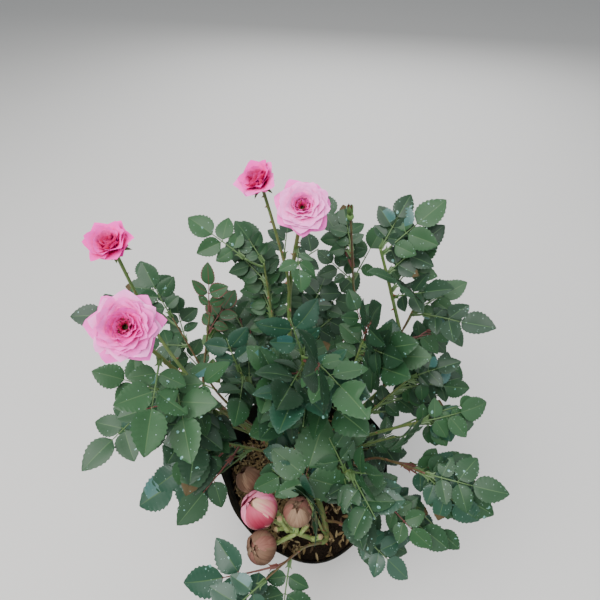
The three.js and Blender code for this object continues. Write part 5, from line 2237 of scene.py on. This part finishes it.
@dataclass
class Flower:
    """A rosette of petals in millimetres: its foot, the way that it faces and its radius."""

    centre: Array
    axis: Array
    radius: float
    full_open: float = 92
    ring_turn: float = 17
    shut_step: float = 8
    hip_rows: int = 9
    hip_sides: int = 14
    sepals: int = 5
    stamen_ring: Pair = (0.05, 0.1)
    stamen_length: Pair = (0.34, 0.08)
    filament_radius: float = 0.13
    anther_length: float = 0.45
    anther_radii: Triple = (0.22, 0.48, 0.22)

    def __post_init__(self) -> None:
        """Starts the rosette's form."""
        self.side, self.over = square_to(self.axis)
        self.form = Form()

    def add_petal(self, petal: PetalForm, turn: float, finish: Finish, dice: Dice) -> None:
        """Adds a petal at a turn about the axis.

        Args:
            petal: Its measures.
            turn: In degrees.
            finish: Its finish.
            dice: What makes it differ.
        """
        points, places = petal.points(dice)
        outward = spoke(self.side, self.over, turn * DEGREE)
        across = np.cross(self.axis, outward)
        out, wide, up = points.T
        spots = np.outer(out, outward) + np.outer(wide, across) + np.outer(up, self.axis)
        self.form.add(self.centre + self.radius * spots, grid(petal.rows, petal.columns), finish, places)

    def add_open(self, plan: PetalPlan, open_angle: float, dice: Dice) -> None:
        """Adds the rings of an open bloom.

        Args:
            plan: How the petals change from the heart outward.
            open_angle: How far the bloom is open, in degrees.
            dice: What makes the petals differ.
        """
        last = len(plan.rings) - 1
        opened = open_angle / self.full_open if plan.foot_lean[1] > 50 else 1.0
        for ring, (count, finish) in enumerate(zip(plan.rings, plan.finishes)):
            share = ring / last
            for number in range(count):
                petal = PetalForm(
                    length=mix(*plan.length, share) * (1 + dice.spread(0.07)),
                    width=mix(*plan.width, share) * (1 + dice.spread(0.1)),
                    foot_lean=mix(*plan.foot_lean, share) * opened + dice.spread(5),
                    tip_lean=mix(*plan.tip_lean, share) * opened + dice.spread(9),
                    cup=mix(*plan.cup, share),
                    curl=mix(*plan.curl, share) * (1 + dice.spread(0.4)),
                    point=mix(*plan.point, share),
                    ruffle=mix(*plan.ruffle, share),
                )
                turn = (number + 0.5 * (ring % 2)) / count * 360 + ring * self.ring_turn + dice.spread(7)
                self.add_petal(petal, turn, finish, dice)

    def add_closed(
        self, finishes: Sequence[Finish], layers: Sequence[tuple[int, float]], crumple: float, dice: Dice
    ) -> None:
        """Adds the wrapped petals of a shut bud or a spent head.

        Args:
            finishes: What the petals are dealt.
            layers: How many petals each layer has, and its size.
            crumple: How much they are wrinkled.
            dice: What makes the petals differ.
        """
        for layer, (count, size) in enumerate(layers):
            for number in range(count):
                petal = replace(
                    SHUT_PETAL,
                    length=SHUT_PETAL.length * size * (1 + dice.spread(0.03)),
                    tip_lean=SHUT_PETAL.tip_lean + self.shut_step * layer + dice.spread(4),
                    curl=dice.spread(SHUT_PETAL.curl),
                    ruffle=crumple * (1 + dice.spread(0.5)),
                )
                turn = (number + 0.5 * (layer % 2)) / count * 360 + dice.spread(12)
                self.add_petal(petal, turn, dice.pick(finishes), dice)

    def add_hip(self, size: float, drop: float) -> None:
        """Adds the round green hip under the petals.

        Args:
            size: Its radius, of the flower's.
            drop: How far its middle lies below the petals' foot, of the flower's radius.
        """
        share = np.linspace(0, 1, self.hip_rows)
        out = size * np.sin(math.pi * (0.06 + 0.8 * share)) ** 0.8
        up = -drop - size * 1.15 * np.cos(math.pi * share * 0.86)
        turn = circle(self.hip_sides)
        ring = np.outer(np.cos(turn), self.side) + np.outer(np.sin(turn), self.over)
        points = [self.centre + self.radius * (ring * o + self.axis * u) for o, u in zip(out, up)]
        self.form.add(np.concatenate(points), grid(self.hip_rows, self.hip_sides, closed=True), HIP)

    def add_sepals(
        self, length: float, foot_lean: float, tip_lean: float, drop: float, dice: Dice
    ) -> None:
        """Adds five pointed sepals.

        Args:
            length: Their length, of the flower's radius.
            foot_lean: Their lean from the axis at the foot, in degrees.
            tip_lean: Their lean at the tip.
            drop: How far below the petals' foot they grow.
            dice: What makes them differ.
        """
        kept = self.centre
        self.centre = kept - self.axis * drop * self.radius
        for number in range(self.sepals):
            sepal = replace(
                SEPAL_FORM, length=length * (1 + dice.spread(0.15)), foot_lean=foot_lean,
                tip_lean=tip_lean + dice.spread(20),
            )
            self.add_petal(sepal, number * 360 / self.sepals + dice.spread(8), SEPAL, dice)
        self.centre = kept

    def add_stamens(self, count: int, dice: Dice) -> None:
        """Adds stamens in the heart.

        Args:
            count: How many.
            dice: What makes them differ.
        """
        for number in range(count):
            out = spoke(self.side, self.over, number * GOLDEN_TURN * DEGREE)
            (near, wide), (least, more) = self.stamen_ring, self.stamen_length
            far = (near + wide * math.sqrt(number / count)) * self.radius
            foot = self.centre + out * far * 0.6
            end = foot + self.axis * (least + more * dice.roll()) * self.radius + out * far * 0.9
            bowed = np.array([foot, mix(foot, end, 0.6) + out * 0.2, end])
            tube(self.form, bowed, np.full(3, self.filament_radius), sides=3, finish=FILAMENT)
            half = self.axis * self.anther_length
            knob = np.array([end - half, end, end + half])
            tube(self.form, knob, np.array(self.anther_radii), sides=5, finish=ANTHER)


@dataclass
class Flowers:
    """The blooms, the shut bud, and the fat bud, spent heads and stubs on the pruned cane."""

    bush: Bush
    foot: float = 0.42
    head_layers: tuple[Pair, ...] = ((5, 0.66), (6, 0.82), (7, 0.91), (8, 0.98))
    bud_layers: tuple[Pair, ...] = ((5, 0.66), (5, 0.84), (6, 0.92), (6, 0.98))
    bud_finishes: tuple[Finish, ...] = (STREAKED, CREAM, CRIMSON, STREAKED)
    bud_crumple: float = 0.004
    head_crumple: float = 0.016
    shut_radius: float = 6.0
    stalk_radii: Pair = (2.1, 1.5)
    stubs: tuple[tuple, ...] = (
        (0.15, 15, -20, 62), (0.5, 11, 40, 40), (0.85, 17, 150, 66), (1, 9, -150, 50),
    )

    def build(self) -> None:
        """Makes every flower."""
        for shoot in self.bush.shoots:
            if shoot.bloom:
                self.bloom(shoot)
            if shoot.tight_bud:
                self.shut_bud(shoot)
            if shoot.heads:
                self.heads(shoot)

    def bloom(self, shoot: Shoot) -> None:
        """Makes one open bloom with its hip and sepals.

        Args:
            shoot: The shoot that bears it.
        """
        bloom, axis, dice = shoot.bloom, bloom_axis(shoot), Dice(shoot.seed + 500)
        foot = bloom_centre(shoot) - axis * self.foot * bloom.radius
        flower = Flower(foot, axis, bloom.radius)
        flower.add_open(bloom.petals, bloom.open, dice)
        if bloom.petals.stamens:
            flower.add_stamens(bloom.petals.stamens, dice)
        flower.add_hip(size=0.17, drop=0.1)
        flower.add_sepals(length=0.62, foot_lean=70, tip_lean=118, drop=0.06, dice=dice)
        flower.form.piece("bloom_" + shoot.name, "petals", "shoot_" + shoot.name)

    def shut_bud(self, shoot: Shoot) -> None:
        """Makes the slender shut bud, wrapped in its sepals.

        Args:
            shoot: The shoot that bears it.
        """
        dice = Dice(shoot.seed + 500)
        flower = Flower(shoot.tip() - UP * 1.5, shoot.stem.heading(1), self.shut_radius)
        for number in range(5):
            wrap = replace(WRAP, length=WRAP.length + dice.spread(0.2))
            flower.add_petal(wrap, number * 72, SEPAL, dice)
        for number in range(3):
            flower.add_petal(SLIVER, number * 120 + 36, CRIMSON, dice)
        flower.add_hip(size=0.42, drop=0.1)
        flower.form.piece("shut_bud", "petals", "shoot_" + shoot.name)

    def heads(self, shoot: Shoot) -> None:
        """Makes the fat bud, the spent heads and the knobby stalks that carry them.

        Args:
            shoot: The pruned shoot.
        """
        wood = Form()
        for number, head in enumerate(HEADS):
            stalk = self.bush.head_stalk(head, shoot)
            line = stalk.row(2.2)
            radii = np.linspace(*self.stalk_radii, len(line))
            bark = Wood.bark(seed=700 + number, depth=0.16)
            tube(wood, line, radii, sides=10, finish=KNOBBY, relief=bark)
            axis = unit(stalk.heading(1) + UP * 0.8)
            dice = Dice(800 + number)
            flower = Flower(head.centre() - axis * head.radius * 0.9, axis, head.radius * 0.97)
            if number == 0:
                flower.add_closed(self.bud_finishes, self.bud_layers, self.bud_crumple, dice)
                flower.add_sepals(length=0.9, foot_lean=80, tip_lean=60, drop=-0.02, dice=dice)
            else:
                flower.add_closed(PAPERS, self.head_layers, self.head_crumple, dice)
                flower.add_sepals(length=0.8, foot_lean=84, tip_lean=110, drop=-0.02, dice=dice)
            flower.add_hip(size=0.2, drop=0.02)
            name, slot = ("fat_bud", "petals") if number == 0 else (f"spent_head_{number}", "spent_heads")
            flower.form.piece(name, slot, "shoot_" + shoot.name)
        for share, length, toward, rise in self.stubs:
            spots = np.linspace(-1, length, 9)
            line = shoot.stem.at(share) + np.outer(spots, direction_of(toward, rise))
            line = line + np.outer(0.02 * spots**2, UP)
            radii = 2.0 + 0.35 * np.sin(spots / 2.6 + share * 9)
            bark = Wood.bark(seed=int(share * 90) + 3, depth=0.14)
            tube(wood, line, radii, sides=10, finish=KNOBBY, relief=bark, end=CUT_WOOD)
        wood.piece("pruned_stubs", "cane_bark", "shoot_" + shoot.name)


# The studio


@dataclass(frozen=True)
class Lamp:
    """A large soft light: its place and its side in metres, and its power in watts."""

    name: str
    place: Triple
    size: float
    power: float
    colour: Colour
    aim: Triple = (0.0, 0.0, 0.25)

    def hang(self) -> None:
        """Makes the light, which points at the bush."""
        data = bpy.data.lights.new(self.name, "AREA")
        data.size, data.energy, data.color = self.size, self.power, self.colour
        lamp = placed(self.name, data)
        lamp.location = self.place
        x, y, z = np.array(self.place) - np.array(self.aim)
        lamp.rotation_euler = (math.atan2(math.hypot(x, y), z), 0, math.atan2(y, x) + math.pi / 2)


@dataclass(frozen=True)
class Studio:
    """The camera at the photograph's viewing angle, the pale floor and the soft light."""

    place: Triple = (-0.006, -0.169, 0.578)
    pitch: float = 48.0
    lens: float = 26.16
    sensor: float = 36.0
    floor_size: float = 6.0
    floor_drop: float = 0.5 * MM
    floor: Finish = Finish("studio_floor", (0.62, 0.61, 0.59), 0.8, 0.3)
    sky: Colour = (0.9, 0.95, 1.0)
    sky_strength: float = 0.4
    lamps: tuple[Lamp, ...] = (
        Lamp("key_light", (-0.5, -0.45, 1.5), 1.3, 41.0, (1.0, 0.985, 0.97)),
        Lamp("fill_light", (1.1, -0.6, 0.9), 1.4, 9.0, (0.95, 0.97, 1.0)),
        Lamp("back_light", (0.2, 1.2, 1.0), 1.4, 17.0, (0.97, 0.98, 1.0)),
    )

    def camera(self) -> None:
        """Makes the camera."""
        data = bpy.data.cameras.new("camera")
        data.lens, data.sensor_width, data.clip_start = self.lens, self.sensor, 0.01
        camera = placed("camera", data)
        camera.location = self.place
        camera.rotation_euler = ((90 - self.pitch) * DEGREE, 0, 0)
        bpy.context.scene.camera = camera

    def build(self) -> None:
        """Makes the floor, the lights and the sky."""
        half = self.floor_size / 2 / MM
        form = Form()
        corners = np.array([[-half, -half, 0], [half, -half, 0], [half, half, 0], [-half, half, 0]])
        form.add(corners, [[0, 1, 2, 3]], self.floor)
        floor = placed("studio_floor", form.mesh("studio_floor"))
        floor.data.materials.append(self.floor.material())
        floor.location.z = -self.floor_drop
        floor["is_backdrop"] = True
        for lamp in self.lamps:
            lamp.hang()
        world = bpy.data.worlds.new("sky")
        world.use_nodes = True
        background = world.node_tree.nodes["Background"].inputs
        background["Color"].default_value = opaque(self.sky)
        background["Strength"].default_value = self.sky_strength
        bpy.context.scene.world = world


def write_sizes() -> None:
    boxes = {"cad": CAD_BOX, "visual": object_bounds()}
    plain = {name: [list(corner) for corner in box] for name, box in boxes.items()}


def main() -> None:
    """Builds the studio, the bag and the bush in order."""
    logging.basicConfig(level=logging.INFO, format="%(name)s: %(message)s")
    studio = Studio()
    studio.camera()
    bag = NurseryBag()
    bag.build()
    PottingMix(bag).build()
    bush = Bush()
    bush.grow()
    Wood(bush).build()
    Foliage(bush).build()
    Flowers(bush).build()
    studio.build()
    write_sizes()


if __name__ == "__main__":
    main()
